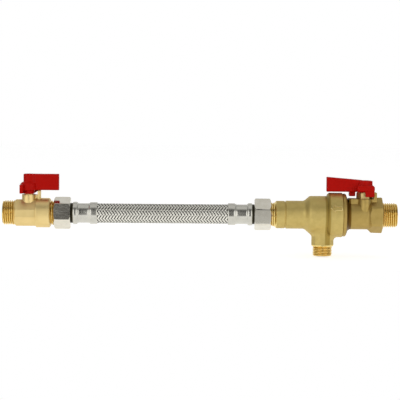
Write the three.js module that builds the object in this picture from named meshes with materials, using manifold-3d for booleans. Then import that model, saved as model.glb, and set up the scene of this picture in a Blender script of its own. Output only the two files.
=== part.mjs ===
// Filling loop for a sealed heating system, in millimetres.
// A mini ball valve for the heating side, a braided hose with a union nut at each end, and a
// backflow preventer with its own ball valve for the mains side. X runs along the pipe from the
// heating side to the mains side, Z runs up through the lever stems, and the origin is the centre
// of the heating side's thread end.

import * as THREE from "three";
import { mergeVertices } from "three/addons/utils/BufferGeometryUtils.js";
import Module from "manifold-3d";

// Clearances
const slideGap = 0.3; // between pieces that turn or slide past each other
const screwGap = 0.15; // on the radius, between a screwed piece and its bore
const touchGap = 0.05; // between a soft ring and the metal round it

// Number of sides that round pieces are drawn with
const wideSides = 28;
const smallSides = 16;
const ringSides = 5;
const springSides = 5;
const ballMeridians = 24;
const ballRows = 14;
const springSteps = 8; // for each turn
const cornerSteps = 6; // for each rounded corner

// Parallel pipe threads, half inch and three eighths: outside radius and depth of the thread
const halfInchRadius = 10.4775;
const halfInchDepth = 1.162;
const threeEighthsRadius = 8.331;
const threeEighthsDepth = 0.856;
const portRadius = 7.25; // bore of every half inch port
const portDepth = 7;
const portCone = 2;

// Body of the mini ball valve
const leftThreadLength = 9.6;
const leftShoulderLength = 1.9;
const octagonLength = 16.5;
const octagonHalfWidth = 11.1;
const octagonFacetHalf = 3.3;
const collarLength = 12.3;
const collarRadius = 12.55;
const collarChamfer = 0.9;
const leftStemFromOctagon = 10.4;
const leftBossRadius = 5.9;
const leftBossTop = 15.6;
const leftLugHalfWidth = 4;
const leftLugTop = 19;
const leftWebHalfWidth = 1.5; // web between the boss and the lug
const endPieceThread = 12.2; // screwed end piece, length that stands out of the collar

// Stop lugs, measured from the stem's axis
const lugInner = 7.7;
const lugOuter = 10.1;

// Balls, seats and stems
const leftBallRadius = 8.3;
const leftBallBore = 5;
const rightBallRadius = 9.2;
const rightBallBore = 5.6;
const chamberGap = 0.6; // round a ball
const seatDepth = 3.7;
const seatOverlap = 3; // how far a seat reaches back over its ball
const slotWidth = 3;
const seatBoreOver = 0.2; // seat bore beyond its ball's
const slotFloor = 0.7; // metal left between a ball's bore and its slot
const stemRadius = 3.9;
const stemSquare = 5.4;
const stemBoreGap = 0.25;
const flangeOver = 0.9; // stem flange beyond the stem's radius
const flangeThickness = 1.4;
const thrustWasher = 0.7;
const stemRingWire = 1;
const stemGrooveDepth = 1;
const leftRingDepth = 2.4; // from the boss's top down to the stem's ring
const leftStemTop = 25;
const rightStemTop = 24.4;

// Levers, moulded in one piece each
const leverScrewRadius = 1.4;
const screwHeadRadius = 2.8;
const screwHeadHeight = 1.8;
const screwRecessReach = 1.7;
const screwRecessHalf = 0.45;
const screwRecessDepth = 1.1;
const screwLength = 8;
const leverWeb = 1.6; // floor under the screw head
const bladeHalfThickness = 3.5;
const bladeEdge = 0.8;
const plateHeight = 2.2; // plate under the hub that carries the stops
const leftBladeReach = 25.6;
const leftBladeBottom = 19.3;
const leftBladeTop = 33.05;
const leftColumnRadius = 4.6;
const leftColumnStretch = 2.6; // the column is oval, longer towards the blade
const leftHubRadius = 7.4;
const leftSleeveRadius = 4.9; // round the stem, below the hub
const leftHubTop = 26.1;
const leftHubChamfer = 1.7;
const leftPlateReach = 8.8;
const leftPlateCorner = 1.5;
const leftSkirtBottom = 16.6;
const leftSkirtSlope = 4;
const rightBladeReach = 32.3;
const rightBladeBottom = 19.9;
const rightBladeTipTop = 32.45;
const rightBladeBackTop = 29.2;
const rightColumnRadius = 6.6;
const rightHubFront = 10.5;
const rightHubSide = 8;
const rightHubBack = 7.3;
const rightHubTop = 25.6;
const rightHubEdge = 1.2;
const rightHubCorner = 2;
const rightTabInset = 0.4; // tabs stand back from the hub's sides
const rightSkirtBottom = 16;
const rightTabReach = 12.8;

// Hose with its crimped ends
const hoseLength = 166.2; // between the two sealing faces
const nutAcrossFlats = 24;
const nutLength = 14;
const nutOverlap = 8.8; // reach of the nut over its thread
const nutEdge = 1;
const leftNutTurn = -8.7; // degrees
const rightNutTurn = -2.2; // degrees
const washerThickness = 1.5;
const washerRadius = 9.3;
const washerBoreOver = 1; // washer bore beyond the tail's
const tailBore = 3.9;
const barbRadius = 4.9;
const barbCount = 3;
const barbDepth = 0.5;
const tailFlange = 1.6;
const tailNeckRadius = 7;
const tailShoulderRadius = 8.4;
const tailShoulderLength = 1.4;
const linerWall = 2;
const linerRadius = 7.2;
const braidRadius = 8.4;
const braidSides = 12;
const braidStep = 36;
const ferruleLength = 21;
const ferruleCrimpRadius = 8.4;
const ferruleNutBead = 9.6;
const ferruleNutBeadLength = 3.8;
const ferruleHoseBead = 9.4;
const ferruleHoseBeadLength = 6.5;
const ferruleSlope = 0.9;
const ferruleLip = 1.2;

// Outlet body of the backflow preventer
const outletThreadLength = 11.9;
const outletNeckChamfer = 1.5;
const outletCollarLength = 7;
const outletCollarRadius = 11.7;
const outletGrooveLength = 1.3;
const outletGrooveSlope = 0.4;
const outletGrooveRadius = 11.1;
const outletBarrelLength = 15.3;
const outletBarrelRadius = 11.9;
const outletConeLength = 4.7;
const chamberShellLength = 14.8;
const chamberShellRadius = 16.1;
const clampRingLength = 12.8;
const clampRingRadius = 18.9;
const clampRingChamfer = 1.5;
const ventChamberRadius = 12.6;
const ventChamberWall = 1.6; // floor of the chamber past the cone's foot
const jointThreadRadius = 15.3;
const jointThreadLength = 7;

// Discharge branch
const branchFromShell = 11.3;
const branchCorners = 12;
const branchRadius = 9.6;
const branchPrismBottom = 26.1;
const branchChamfer = 1.2;
const branchThreadLength = 7.4;
const branchBore = 5.8;

// Flow arrow cast on the clamping ring
const arrowHeight = 6.8; // above the pipe's axis
const arrowLength = 9.4;
const arrowHeadLength = 3.2;
const arrowHeadHalf = 2.7;
const arrowShaftHalf = 1.5;
const arrowRelief = 0.35;
const arrowLine = 0.7;
const arrowSetback = 1; // from the ring's chamfer to the tip
// Offset of the inner outline for each unit of line width: at the tip, neck, tail and head corner
const arrowInset = { tip: 1.6, neck: -0.6, tail: -2.6, head: 1.6 };

// Inlet body with the second ball valve
const rimLength = 3;
const rimRadius = 18.2;
const rimShoulder = 2.1;
const rimFoot = 0.5; // length of the shoulder's shallow foot
const barrelLength = 17;
const barrelRadius = 12.1;
const hexLength = 11.8;
const hexAcrossFlats = 27;
const hexCornerRadius = 14.8;
const hexChamfer = 1.8;
const hexBackChamfer = 0.6;
const undercutLength = 1.3;
const inletThreadLength = 11.4;
const rightStemFromBarrel = 13.8;
const bossHalfLength = 7.4;
const bossHalfWidth = 11.7;
const bossTop = 14.2;
const landHalfWidth = 7;
const rightLugTop = 19.5;
const rightLugInner = 7.2;
const glandAcrossFlats = 12;
const glandSpigotRadius = 5.5;
const glandEdge = 0.7;
const retainerLength = 4;
const strainerLength = 5.4;
const strainerRadius = 7.8;
const strainerWall = 0.9;
const strainerEdge = 1.5; // slope at the edge of its closed end
const strainerSlots = 3;
const strainerSlotWidth = 2.4;
const strainerSlotLength = 2;
const strainerSlotFromRetainer = 1.1;
const bodyRingWire = 1.1;
const bodyRingPlace = 2.35; // from the joint face

// Vent piston and the two check valves
const pistonTravel = 4;
const pistonHeadLength = 3.6;
const pistonHeadBack = 1.5; // from the joint face to the head's wet side
const pistonSleeveRadius = 8.6;
const pistonSleeveBore = 6.8;
const pistonSealWire = 1.2;
const pistonSpringWire = 1.5;
const pistonSpringTurns = 4;
const ventSeatWidth = 2.6;
const ventSeatDepth = 1.5;
const ventSeatProud = 0.4;
const checkSeatBore = 4.8;
const checkSeatLength = 2.4;
const poppetRadius = 5.9;
const poppetThickness = 1.6;
const poppetNose = 1;
const poppetEdge = 0.6;
const poppetStemRadius = 1.3;
const guideThickness = 2;
const guideBossRadius = 2.5;
const guideWebs = 3;
const guideWebWidth = 1.6;
const guideRim = 0.9;
const guideWebRoot = 0.5; // how far a web runs into the wall round it
const inletGuideInset = 0.6; // from the piston sleeve's end
const outletGuideInset = 1.6; // from the cartridge's end
const checkSpringWire = 0.7;
const checkSpringRadius = 4;
const checkSpringTurns = 4;
const cartridgeRadius = 8.4;
const cartridgeBore = 6.6;
const cartridgeLength = 22;
const cartridgeStop = 1.4; // from the neck to the step that the cartridge stands on
const cartridgeRingPlace = 13.6; // from the cartridge's outlet end
const cartridgeRingWire = 0.9;
const retainingRing = 1.1;
const retainingRingBore = 6.9;

const smallEdge = 0.4; // chamfer of a turned corner
const past = 1; // how far a cutter runs past the face that it opens

const wasm = await Module();
wasm.setup();

// One closed skin with shared corners, facing out, as a solid that can be joined and cut
function solid(geometry) {
  const bare = new THREE.BufferGeometry();
  bare.setAttribute("position", geometry.getAttribute("position").clone());
  if (geometry.index) bare.setIndex(geometry.index.clone());
  const merged = mergeVertices(bare, 1e-4);
  const position = merged.getAttribute("position");
  const corner = (i) => new THREE.Vector3().fromBufferAttribute(position, i);
  const faces = [];
  let volume = 0;
  for (let i = 0; i < merged.index.count; i += 3) {
    const [a, b, c] = [0, 1, 2].map((k) => merged.index.getX(i + k));
    if (a === b || b === c || c === a) continue;
    faces.push([a, b, c]);
    volume += corner(a).dot(corner(b).cross(corner(c)));
  }
  const outward = volume > 0 ? faces : faces.map(([a, b, c]) => [a, c, b]);
  const skin = new wasm.Mesh({
    numProp: 3,
    vertProperties: new Float32Array(position.array),
    triVerts: new Uint32Array(outward.flat()),
  });
  return new wasm.Manifold(skin);
}

function geometryOf(shape) {
  const skin = shape.getMesh();
  const geometry = new THREE.BufferGeometry();
  geometry.setAttribute("position", new THREE.BufferAttribute(new Float32Array(skin.vertProperties), 3));
  geometry.setIndex(new THREE.BufferAttribute(new Uint32Array(skin.triVerts), 1));
  geometry.computeVertexNormals();
  return geometry;
}

const joined = (...shapes) => shapes.reduce((all, shape) => all.add(shape));
const cut = (shape, ...cutters) => cutters.reduce((left, cutter) => left.subtract(cutter), shape);

// Solids of revolution: a profile of [place along the axis, radius] points, closed on itself
function latheOf(profile, sides) {
  const points = profile.map(([along, radius]) => new THREE.Vector2(radius, along));
  return new THREE.LatheGeometry([...points, points[0].clone()], sides);
}

function turned(profile, sides = wideSides) {
  return solid(latheOf(profile, sides).rotateZ(-Math.PI / 2));
}

function standing(profile, x = 0, sides = smallSides) {
  return solid(latheOf(profile, sides).rotateX(Math.PI / 2).translate(x, 0, 0));
}

const rod = (from, to, radius) => [
  [from, 0],
  [from, radius],
  [to, radius],
  [to, 0],
];

const pipe = (from, to, bore, radius) => [
  [from, bore],
  [from, radius],
  [to, radius],
  [to, bore],
];

// Prisms: an outline in the plane across the axis, drawn out between two places along it
const axesTo = {
  x: new THREE.Matrix4().makeBasis(
    new THREE.Vector3(0, 1, 0),
    new THREE.Vector3(0, 0, 1),
    new THREE.Vector3(1, 0, 0),
  ),
  y: new THREE.Matrix4().makeBasis(
    new THREE.Vector3(1, 0, 0),
    new THREE.Vector3(0, 0, 1),
    new THREE.Vector3(0, -1, 0),
  ),
  z: new THREE.Matrix4(),
};

function prism(axis, outline, from, to, edge = 0) {
  const shape = outline instanceof THREE.Shape ? outline : new THREE.Shape(outline);
  const bevel = { bevelThickness: edge, bevelSize: edge, bevelOffset: -edge, bevelSegments: 1 };
  const geometry = new THREE.ExtrudeGeometry(shape, {
    depth: to - from - 2 * edge,
    bevelEnabled: edge > 0,
    curveSegments: cornerSteps,
    ...bevel,
  });
  const start = axis === "y" ? -to : from;
  return solid(geometry.translate(0, 0, start + edge).applyMatrix4(axesTo[axis]));
}

const outlineOf = (points) => points.map(([u, v]) => new THREE.Vector2(u, v));

const rectangle = (u0, u1, v0, v1) =>
  outlineOf([
    [u0, v0],
    [u1, v0],
    [u1, v1],
    [u0, v1],
  ]);

function block([x0, x1], [y0, y1], [z0, z1]) {
  return prism("z", rectangle(x0, x1, y0, y1), z0, z1);
}

// Rectangle with round corners
function rounded(u0, u1, v0, v1, radius) {
  const shape = new THREE.Shape();
  shape.absarc(u1 - radius, v1 - radius, radius, 0, Math.PI / 2);
  shape.absarc(u0 + radius, v1 - radius, radius, Math.PI / 2, Math.PI);
  shape.absarc(u0 + radius, v0 + radius, radius, Math.PI, 1.5 * Math.PI);
  shape.absarc(u1 - radius, v0 + radius, radius, 1.5 * Math.PI, 2 * Math.PI);
  return shape;
}

// Regular polygon with its first corner at an angle from the u axis
function polygon(sides, cornerRadius, firstAngle = 0) {
  return outlineOf(
    Array.from({ length: sides }, (_, i) => {
      const angle = firstAngle + (i * 2 * Math.PI) / sides;
      return [cornerRadius * Math.cos(angle), cornerRadius * Math.sin(angle)];
    }),
  );
}

const hexagonCorner = (acrossFlats) => acrossFlats / 2 / Math.cos(Math.PI / 6);

// Outside of a threaded end as a profile, from its open end to its undercut at the body
function threadProfile(open, body, radius, depth) {
  const inwards = Math.sign(body - open);
  return [
    [open, radius - depth],
    [open + inwards * depth, radius],
    [body - inwards * depth, radius],
    [body, radius - depth],
  ];
}

const halfInchThread = (open, body) => threadProfile(open, body, halfInchRadius, halfInchDepth);

// Round-sectioned ring about the pipe's axis or a stem's
function ring(radius, wire, sides = smallSides) {
  const section = Array.from({ length: ringSides }, (_, i) => {
    const angle = ((i + 0.5) * 2 * Math.PI) / ringSides;
    return [(wire / 2) * Math.sin(angle), radius + (wire / 2) * Math.cos(angle)];
  });
  return latheOf(section, sides);
}

const ringAlongX = (x, radius, wire, sides) =>
  solid(ring(radius, wire, sides).rotateZ(-Math.PI / 2).translate(x, 0, 0));

const ringAlongZ = (z, radius, wire) => solid(ring(radius, wire).rotateX(Math.PI / 2).translate(0, 0, z));

// Wire wound as an open helix along X
class Helix extends THREE.Curve {
  constructor(from, to, radius, turns) {
    super();
    Object.assign(this, { from, to, radius, turns });
  }

  getPoint(t, target = new THREE.Vector3()) {
    const angle = 2 * Math.PI * this.turns * t;
    const along = this.from + (this.to - this.from) * t;
    return target.set(along, this.radius * Math.cos(angle), this.radius * Math.sin(angle));
  }
}

function spring(from, to, radius, wire, turns) {
  const path = new Helix(from + wire, to - wire, radius, turns);
  const section = new THREE.Shape(polygon(springSides, wire / 2));
  const geometry = new THREE.ExtrudeGeometry(section, { steps: springSteps * turns, extrudePath: path });
  return solid(geometry);
}

// Finishes, as colour, roughness and metalness
const finishes = {
  castBrass: [0xb9a563, 0.42, 1],
  turnedBrass: [0xd9c38a, 0.3, 1],
  nickel: [0xc6c1b0, 0.28, 1],
  blackenedBrass: [0x2e2d23, 0.4, 1],
  stainless: [0xb9b8ae, 0.3, 1],
  braid: [0xb2b0a4, 0.45, 1],
  redNylon: [0x9c1a0e, 0.45, 0],
  chromedBall: [0xd4d5d6, 0.12, 1],
  ptfe: [0xf1efe8, 0.5, 0],
  rubber: [0x1d1c1a, 0.75, 0],
  epdm: [0x262524, 0.7, 0],
  acetal: [0xe9e6da, 0.45, 0],
  springSteel: [0x9c9d9e, 0.25, 1],
  fibre: [0x3d5a48, 0.8, 0],
};

function piece(name, shape, finish) {
  const [color, roughness, metalness] = finishes[finish];
  const material = new THREE.MeshStandardMaterial({ color, roughness, metalness });
  const mesh = new THREE.Mesh(geometryOf(shape), material);
  mesh.name = name;
  return mesh;
}

function placed(x, ...children) {
  const group = new THREE.Group();
  group.position.x = x;
  group.add(...children);
  return group;
}

// Ball with its bore along the pipe and a slot across its top for the stem's tang
function ball(radius, bore) {
  const sphere = solid(new THREE.SphereGeometry(radius, ballMeridians, ballRows).rotateX(Math.PI / 2));
  const through = turned(rod(-radius - past, radius + past, bore), smallSides);
  const slot = block(
    [-slotWidth / 2, slotWidth / 2],
    [-radius - past, radius + past],
    [bore + slotFloor, radius + past],
  );
  return cut(sphere, through, slot);
}

// Seat ring on one side of a ball; its hollow follows the ball a slide gap away
function seat(side, radius, bore) {
  const outer = radius + chamberGap - screwGap;
  const near = radius - seatOverlap;
  const far = near + seatDepth;
  const hollow = radius + slideGap;
  const inner = bore + seatBoreOver;
  const edge = Math.sqrt(hollow ** 2 - inner ** 2);
  const middle = (near + edge) / 2;
  const profile = [
    [far, inner],
    [far, outer],
    [near, outer],
    [near, Math.sqrt(hollow ** 2 - near ** 2)],
    [middle, Math.sqrt(hollow ** 2 - middle ** 2)],
    [edge, inner],
  ];
  return turned(profile.map(([along, r]) => [side * along, r]), smallSides);
}

const seatFace = (radius) => radius - seatOverlap + seatDepth;

// Heights over a ball: its stem's flange, and the thrust washer on the flange
const washerBottom = (ballRadius) => ballRadius + slideGap + flangeThickness + touchGap;
const washerTop = (ballRadius) => washerBottom(ballRadius) + thrustWasher;

// Stem: tang in the ball's slot, flange, round shaft with a ring groove, square for the lever
function stem({ ballRadius, ballBore, flangeRadius, ringZ, squareZ, top }) {
  const flangeZ = ballRadius + slideGap;
  const grooveHalf = stemRingWire / 2 + touchGap;
  const shaft = standing([
    [flangeZ, 0],
    [flangeZ, flangeRadius],
    [flangeZ + flangeThickness, flangeRadius],
    [flangeZ + flangeThickness, stemRadius],
    [ringZ - grooveHalf, stemRadius],
    [ringZ - grooveHalf, stemRadius - stemGrooveDepth],
    [ringZ + grooveHalf, stemRadius - stemGrooveDepth],
    [ringZ + grooveHalf, stemRadius],
    [squareZ, stemRadius],
    [squareZ, 0],
  ]);
  const tangReach = Math.min(flangeRadius, Math.sqrt(ballRadius ** 2 - (ballBore + slotFloor) ** 2));
  const tang = block(
    [-slotWidth / 2 + slideGap, slotWidth / 2 - slideGap],
    [-tangReach, tangReach],
    [ballBore + slotFloor + slideGap, flangeZ + flangeThickness / 2],
  );
  const half = stemSquare / 2;
  const square = block([-half, half], [-half, half], [squareZ - flangeThickness / 2, top]);
  const screwHole = standing(rod(top - screwLength, top + past, leverScrewRadius + screwGap));
  return cut(joined(shaft, tang, square), screwHole);
}

// Pan head screw with a cross recess, its head resting on the lever's web
function leverScrew(top) {
  const under = top + slideGap + leverWeb;
  const shank = standing([
    [under - screwLength, 0],
    [under - screwLength, leverScrewRadius],
    [under, leverScrewRadius],
    [under, screwHeadRadius],
    [under + screwHeadHeight / 2, screwHeadRadius],
    [under + screwHeadHeight, screwHeadRadius / 1.5],
    [under + screwHeadHeight, 0],
  ]);
  const along = [-screwRecessReach, screwRecessReach];
  const across = [-screwRecessHalf, screwRecessHalf];
  const recess = [under + screwHeadHeight - screwRecessDepth, under + screwHeadHeight + past];
  return cut(shank, block(along, across, recess), block(across, along, recess));
}

// Holes that every lever has: the square for its stem, the screw's hole and the recess above it
function leverHoles(top, bottom, leverTop) {
  const half = stemSquare / 2 + slideGap / 2;
  const web = top + slideGap;
  return joined(
    block([-half, half], [-half, half], [bottom - past, web]),
    standing(rod(web - past / 2, web + leverWeb + past / 2, leverScrewRadius + slideGap)),
    standing(rod(web + leverWeb, leverTop + past, screwHeadRadius + slideGap)),
  );
}

// Lever of the mini valve: blade towards the hose, an oval column, a round hub with the stop tab on its
// near left, a plate with the stop skirt along its far side, and a sleeve down to the boss
function leftLever() {
  const stop = leftLugHalfWidth + slideGap;
  const bladeSide = rectangle(0, leftBladeReach, leftBladeBottom, leftBladeTop);
  const blade = prism("y", bladeSide, -bladeHalfThickness, bladeHalfThickness, bladeEdge);
  const columnOutline = rounded(
    -leftColumnRadius,
    leftColumnRadius + leftColumnStretch,
    -leftColumnRadius,
    leftColumnRadius,
    leftColumnRadius - bladeEdge / 2,
  );
  const column = prism("z", columnOutline, leftBladeBottom, leftBladeTop, bladeEdge / 2);
  const hub = standing(
    [
      [leftBladeBottom, 0],
      [leftBladeBottom, leftHubRadius],
      [leftHubTop - leftHubChamfer, leftHubRadius],
      [leftHubTop, leftHubRadius - leftHubChamfer],
      [leftHubTop, 0],
    ],
    0,
    wideSides,
  );
  const far = leftHubRadius - slideGap;
  const back = -far;
  const plateOutline = rounded(back, leftPlateReach, -leftPlateCorner, far, leftPlateCorner);
  const plate = prism("z", plateOutline, leftBladeBottom, leftBladeBottom + plateHeight);
  const skirtTop = leftBladeBottom + plateHeight / 2;
  const skirtSide = outlineOf([
    [back, skirtTop],
    [back, leftSkirtBottom],
    [leftPlateReach - leftSkirtSlope, leftSkirtBottom],
    [leftPlateReach, leftBladeBottom],
    [leftPlateReach, skirtTop],
  ]);
  const farSkirt = prism("y", skirtSide, stop, far);
  const tabNear = -lugOuter + 2 * slideGap;
  const tabTop = leftHubTop - leftHubChamfer - slideGap;
  const tab = block([back, -stop], [tabNear, -bladeHalfThickness], [leftSkirtBottom, tabTop]);
  const backSkirt = block([back, -stop], [tabNear / 2, far], [leftSkirtBottom, skirtTop]);
  const sleeveBottom = leftBossTop + 2 * slideGap;
  const sleeve = standing(rod(sleeveBottom, leftBladeBottom + plateHeight / 2, leftSleeveRadius));
  const body = joined(blade, column, hub, plate, farSkirt, backSkirt, tab, sleeve);
  return cut(body, leverHoles(leftStemTop, sleeveBottom, leftBladeTop));
}

// Lever of the mains valve: a taller blade that slopes down to its hub, and two stop tabs
function rightLever() {
  const stop = landHalfWidth + 2 * slideGap;
  const bladeSide = outlineOf([
    [-rightBladeReach, rightBladeBottom],
    [rightColumnRadius, rightBladeBottom],
    [rightColumnRadius, rightBladeBackTop],
    [-rightBladeReach, rightBladeTipTop],
  ]);
  const blade = prism("y", bladeSide, -bladeHalfThickness, bladeHalfThickness, bladeEdge);
  const columnTop = rightBladeBackTop + slideGap;
  const column = standing(
    [
      [rightBladeBottom, 0],
      [rightBladeBottom, rightColumnRadius],
      [columnTop - bladeEdge, rightColumnRadius],
      [columnTop, rightColumnRadius - bladeEdge],
      [columnTop, 0],
    ],
    0,
    wideSides,
  );
  const hubOutline = rounded(-rightHubBack, rightHubSide, -rightHubFront, rightHubSide, rightHubCorner);
  const hub = prism("z", hubOutline, rightBladeBottom, rightHubTop, rightHubEdge);
  const side = rightHubSide - rightTabInset;
  const tabHeight = [rightSkirtBottom, rightBladeBottom + plateHeight];
  const webHeight = [rightBladeBottom, rightBladeBottom + plateHeight];
  const nearTab = block([0, side], [-rightHubFront + rightTabInset, -stop], tabHeight);
  const backTab = block([-rightTabReach, -stop], [0, side], tabHeight);
  const tabWeb = block([-stop - rightTabInset, 0], [0, side], webHeight);
  const body = joined(blade, column, hub, nearTab, backTab, tabWeb);
  return cut(body, leverHoles(rightStemTop, rightSkirtBottom, columnTop));
}

// Mini ball valve
const octagonStart = leftThreadLength + leftShoulderLength;
const collarStart = octagonStart + octagonLength;
const collarEnd = collarStart + collarLength;
const leftStemX = octagonStart + leftStemFromOctagon;
const leftSeatFace = seatFace(leftBallRadius);
const leftChamber = leftBallRadius + chamberGap;
const endPieceStart = leftStemX + leftSeatFace;
const sealingFace = collarEnd + endPieceThread;
const endPieceRadius = halfInchRadius - slideGap;

function leftValveBody() {
  const half = octagonHalfWidth;
  const facet = octagonFacetHalf;
  const cornerRadius = Math.hypot(half, facet);
  const rim = 1 / Math.cos(Math.PI / wideSides); // so that the round cutter clears the corners
  const octagon = prism(
    "x",
    outlineOf([
      [facet, half],
      [-facet, half],
      [-half, facet],
      [-half, -facet],
      [-facet, -half],
      [facet, -half],
      [half, -facet],
      [half, facet],
    ]),
    leftThreadLength,
    collarStart + past,
  );
  const shoulder = turned([
    [leftThreadLength - past, 0],
    [leftThreadLength - past, halfInchRadius - halfInchDepth],
    [leftThreadLength, halfInchRadius - halfInchDepth / 2],
    [octagonStart, cornerRadius * rim],
    [collarStart + past, cornerRadius * rim],
    [collarStart + past, 0],
  ]);
  const thread = turned([[0, 0], ...halfInchThread(0, leftThreadLength), [leftThreadLength, 0]]);
  const collar = turned([
    [collarStart, 0],
    [collarStart, collarRadius - collarChamfer / 2],
    [collarStart + collarChamfer / 2, collarRadius],
    [collarEnd - collarChamfer, collarRadius],
    [collarEnd, collarRadius - collarChamfer],
    [collarEnd, 0],
  ]);
  const boss = standing(rod(0, leftBossTop, leftBossRadius), leftStemX, smallSides);
  const lugX = [leftStemX + lugInner, leftStemX + lugOuter];
  const lug = block(lugX, [-leftLugHalfWidth, leftLugHalfWidth], [collarRadius / 2, leftLugTop]);
  const webAcross = [-leftWebHalfWidth, leftWebHalfWidth];
  const web = block([leftStemX, lugX[0] + past / 2], webAcross, [octagonHalfWidth / 2, leftBossTop]);
  const bores = turned([
    [-past, 0],
    [-past, portRadius],
    [portDepth, portRadius],
    [portDepth + portCone, leftBallBore],
    [leftStemX - leftSeatFace, leftBallBore],
    [leftStemX - leftSeatFace, leftChamber],
    [endPieceStart, leftChamber],
    [endPieceStart, endPieceRadius + screwGap],
    [collarEnd + past, endPieceRadius + screwGap],
    [collarEnd + past, 0],
  ]);
  const flangeRadius = stemRadius + flangeOver + stemBoreGap;
  const pocketTop = washerTop(leftBallRadius) + touchGap;
  const stemBore = joined(
    standing(rod(0, pocketTop, flangeRadius), leftStemX),
    standing(rod(0, leftBossTop + past, stemRadius + stemBoreGap), leftStemX),
  );
  return cut(joined(octagon.intersect(shoulder), thread, collar, boss, lug, web), bores, stemBore);
}

// Screwed end piece: closes the ball chamber and carries the hose's thread
function leftEndPiece() {
  return turned([
    [endPieceStart, leftBallBore],
    [endPieceStart, endPieceRadius],
    [collarEnd, endPieceRadius],
    ...halfInchThread(sealingFace, collarEnd).reverse(),
    [sealingFace, portRadius],
    [sealingFace - portDepth, portRadius],
    [sealingFace - portDepth - portCone, leftBallBore],
  ]);
}

function stemWasher(ballRadius, outer) {
  const bore = stemRadius + stemBoreGap;
  return standing(pipe(washerBottom(ballRadius), washerTop(ballRadius), bore, outer));
}

function stemRing(z) {
  return ringAlongZ(z, stemRadius - stemGrooveDepth / 2 + touchGap, stemRingWire - touchGap);
}

const leftRingZ = leftBossTop - leftRingDepth;
const leftStem = {
  ballRadius: leftBallRadius,
  ballBore: leftBallBore,
  flangeRadius: stemRadius + flangeOver,
  ringZ: leftRingZ,
  squareZ: leftBossTop + slideGap,
  top: leftStemTop,
};

function miniValve() {
  const turning = placed(
    leftStemX,
    piece("left_ball", ball(leftBallRadius, leftBallBore), "chromedBall"),
    piece("left_stem", stem(leftStem), "turnedBrass"),
    piece("left_stem_oring", stemRing(leftRingZ), "rubber"),
    piece("left_lever", leftLever(), "redNylon"),
    piece("left_lever_screw", leverScrew(leftStemTop), "nickel"),
  );
  const seats = placed(
    leftStemX,
    piece("left_seat_outer", seat(-1, leftBallRadius, leftBallBore), "ptfe"),
    piece("left_seat_inner", seat(1, leftBallRadius, leftBallBore), "ptfe"),
    piece("left_stem_washer", stemWasher(leftBallRadius, stemRadius + flangeOver), "ptfe"),
  );
  return placed(
    0,
    piece("left_valve_body", leftValveBody(), "turnedBrass"),
    piece("left_end_piece", leftEndPiece(), "turnedBrass"),
    seats,
    turning,
  );
}

// One end of the hose, its sealing face at x = 0 and the hose towards +X
const lipFace = washerThickness + tailFlange + slideGap;
const nutEnd = nutLength - nutOverlap;
const shoulderFace = nutEnd + slideGap;
const ferruleStart = shoulderFace + tailShoulderLength;
const ferruleEnd = ferruleStart + ferruleLength;
const linerStart = ferruleStart + ferruleLip + slideGap;
const barbEnd = ferruleEnd - ferruleSlope;

function unionNut() {
  const corner = hexagonCorner(nutAcrossFlats);
  const hexagon = prism("x", polygon(6, corner, Math.PI / 6), -nutOverlap, nutEnd);
  const edges = turned([
    [-nutOverlap, 0],
    [-nutOverlap, corner - 2 * nutEdge],
    [-nutOverlap + nutEdge, corner - nutEdge / 2],
    [nutEnd - nutEdge, corner - nutEdge / 2],
    [nutEnd, corner - 2 * nutEdge],
    [nutEnd, 0],
  ]);
  const threadBore = halfInchRadius + slideGap;
  const bore = turned([
    [-nutOverlap - past, 0],
    [-nutOverlap - past, threadBore],
    [lipFace, threadBore],
    [lipFace, tailNeckRadius + slideGap],
    [nutEnd + past, tailNeckRadius + slideGap],
    [nutEnd + past, 0],
  ]);
  return cut(hexagon.intersect(edges), bore);
}

function hoseTail() {
  const barbs = [];
  const barbPitch = (barbEnd - linerStart) / barbCount;
  for (let i = 0; i < barbCount; i += 1) {
    const start = linerStart + i * barbPitch;
    barbs.push([start, barbRadius], [start + barbPitch, barbRadius - barbDepth]);
  }
  return turned(
    [
      [washerThickness, tailBore],
      [washerThickness, washerRadius],
      [washerThickness + tailFlange, washerRadius],
      [washerThickness + tailFlange, tailNeckRadius],
      [shoulderFace, tailNeckRadius],
      [shoulderFace, tailShoulderRadius],
      [ferruleStart, tailShoulderRadius],
      [ferruleStart, barbRadius],
      ...barbs,
      [barbEnd, tailBore],
    ],
    smallSides,
  );
}

// Stainless sleeve crimped over the braid: a bead at each end and the crimped waist between
function ferrule() {
  const bore = linerRadius + slideGap;
  const nutBeadEnd = ferruleStart + ferruleNutBeadLength;
  const hoseBeadStart = ferruleEnd - ferruleHoseBeadLength;
  return turned([
    [ferruleStart, barbRadius + slideGap],
    [ferruleStart, ferruleNutBead - ferruleSlope],
    [ferruleStart + ferruleSlope, ferruleNutBead],
    [nutBeadEnd - ferruleSlope / 2, ferruleNutBead],
    [nutBeadEnd + ferruleSlope, ferruleCrimpRadius],
    [hoseBeadStart - ferruleSlope, ferruleCrimpRadius],
    [hoseBeadStart + ferruleSlope / 2, ferruleHoseBead],
    [ferruleEnd - ferruleSlope / 2, ferruleHoseBead],
    [ferruleEnd, ferruleHoseBead - ferruleSlope / 2],
    [ferruleEnd, bore],
    [ferruleStart + ferruleLip, bore],
    [ferruleStart + ferruleLip, barbRadius + slideGap],
  ]);
}

function hoseEnd(side, nutTurn) {
  const nut = placed(0, piece(`hose_nut_${side}`, unionNut(), "nickel"));
  nut.rotation.x = THREE.MathUtils.degToRad(nutTurn);
  const washer = turned(pipe(0, washerThickness, tailBore + washerBoreOver, washerRadius), smallSides);
  return placed(
    0,
    nut,
    piece(`hose_washer_${side}`, washer, "fibre"),
    piece(`hose_tail_${side}`, hoseTail(), "blackenedBrass"),
    piece(`hose_ferrule_${side}`, ferrule(), "stainless"),
  );
}

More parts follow.
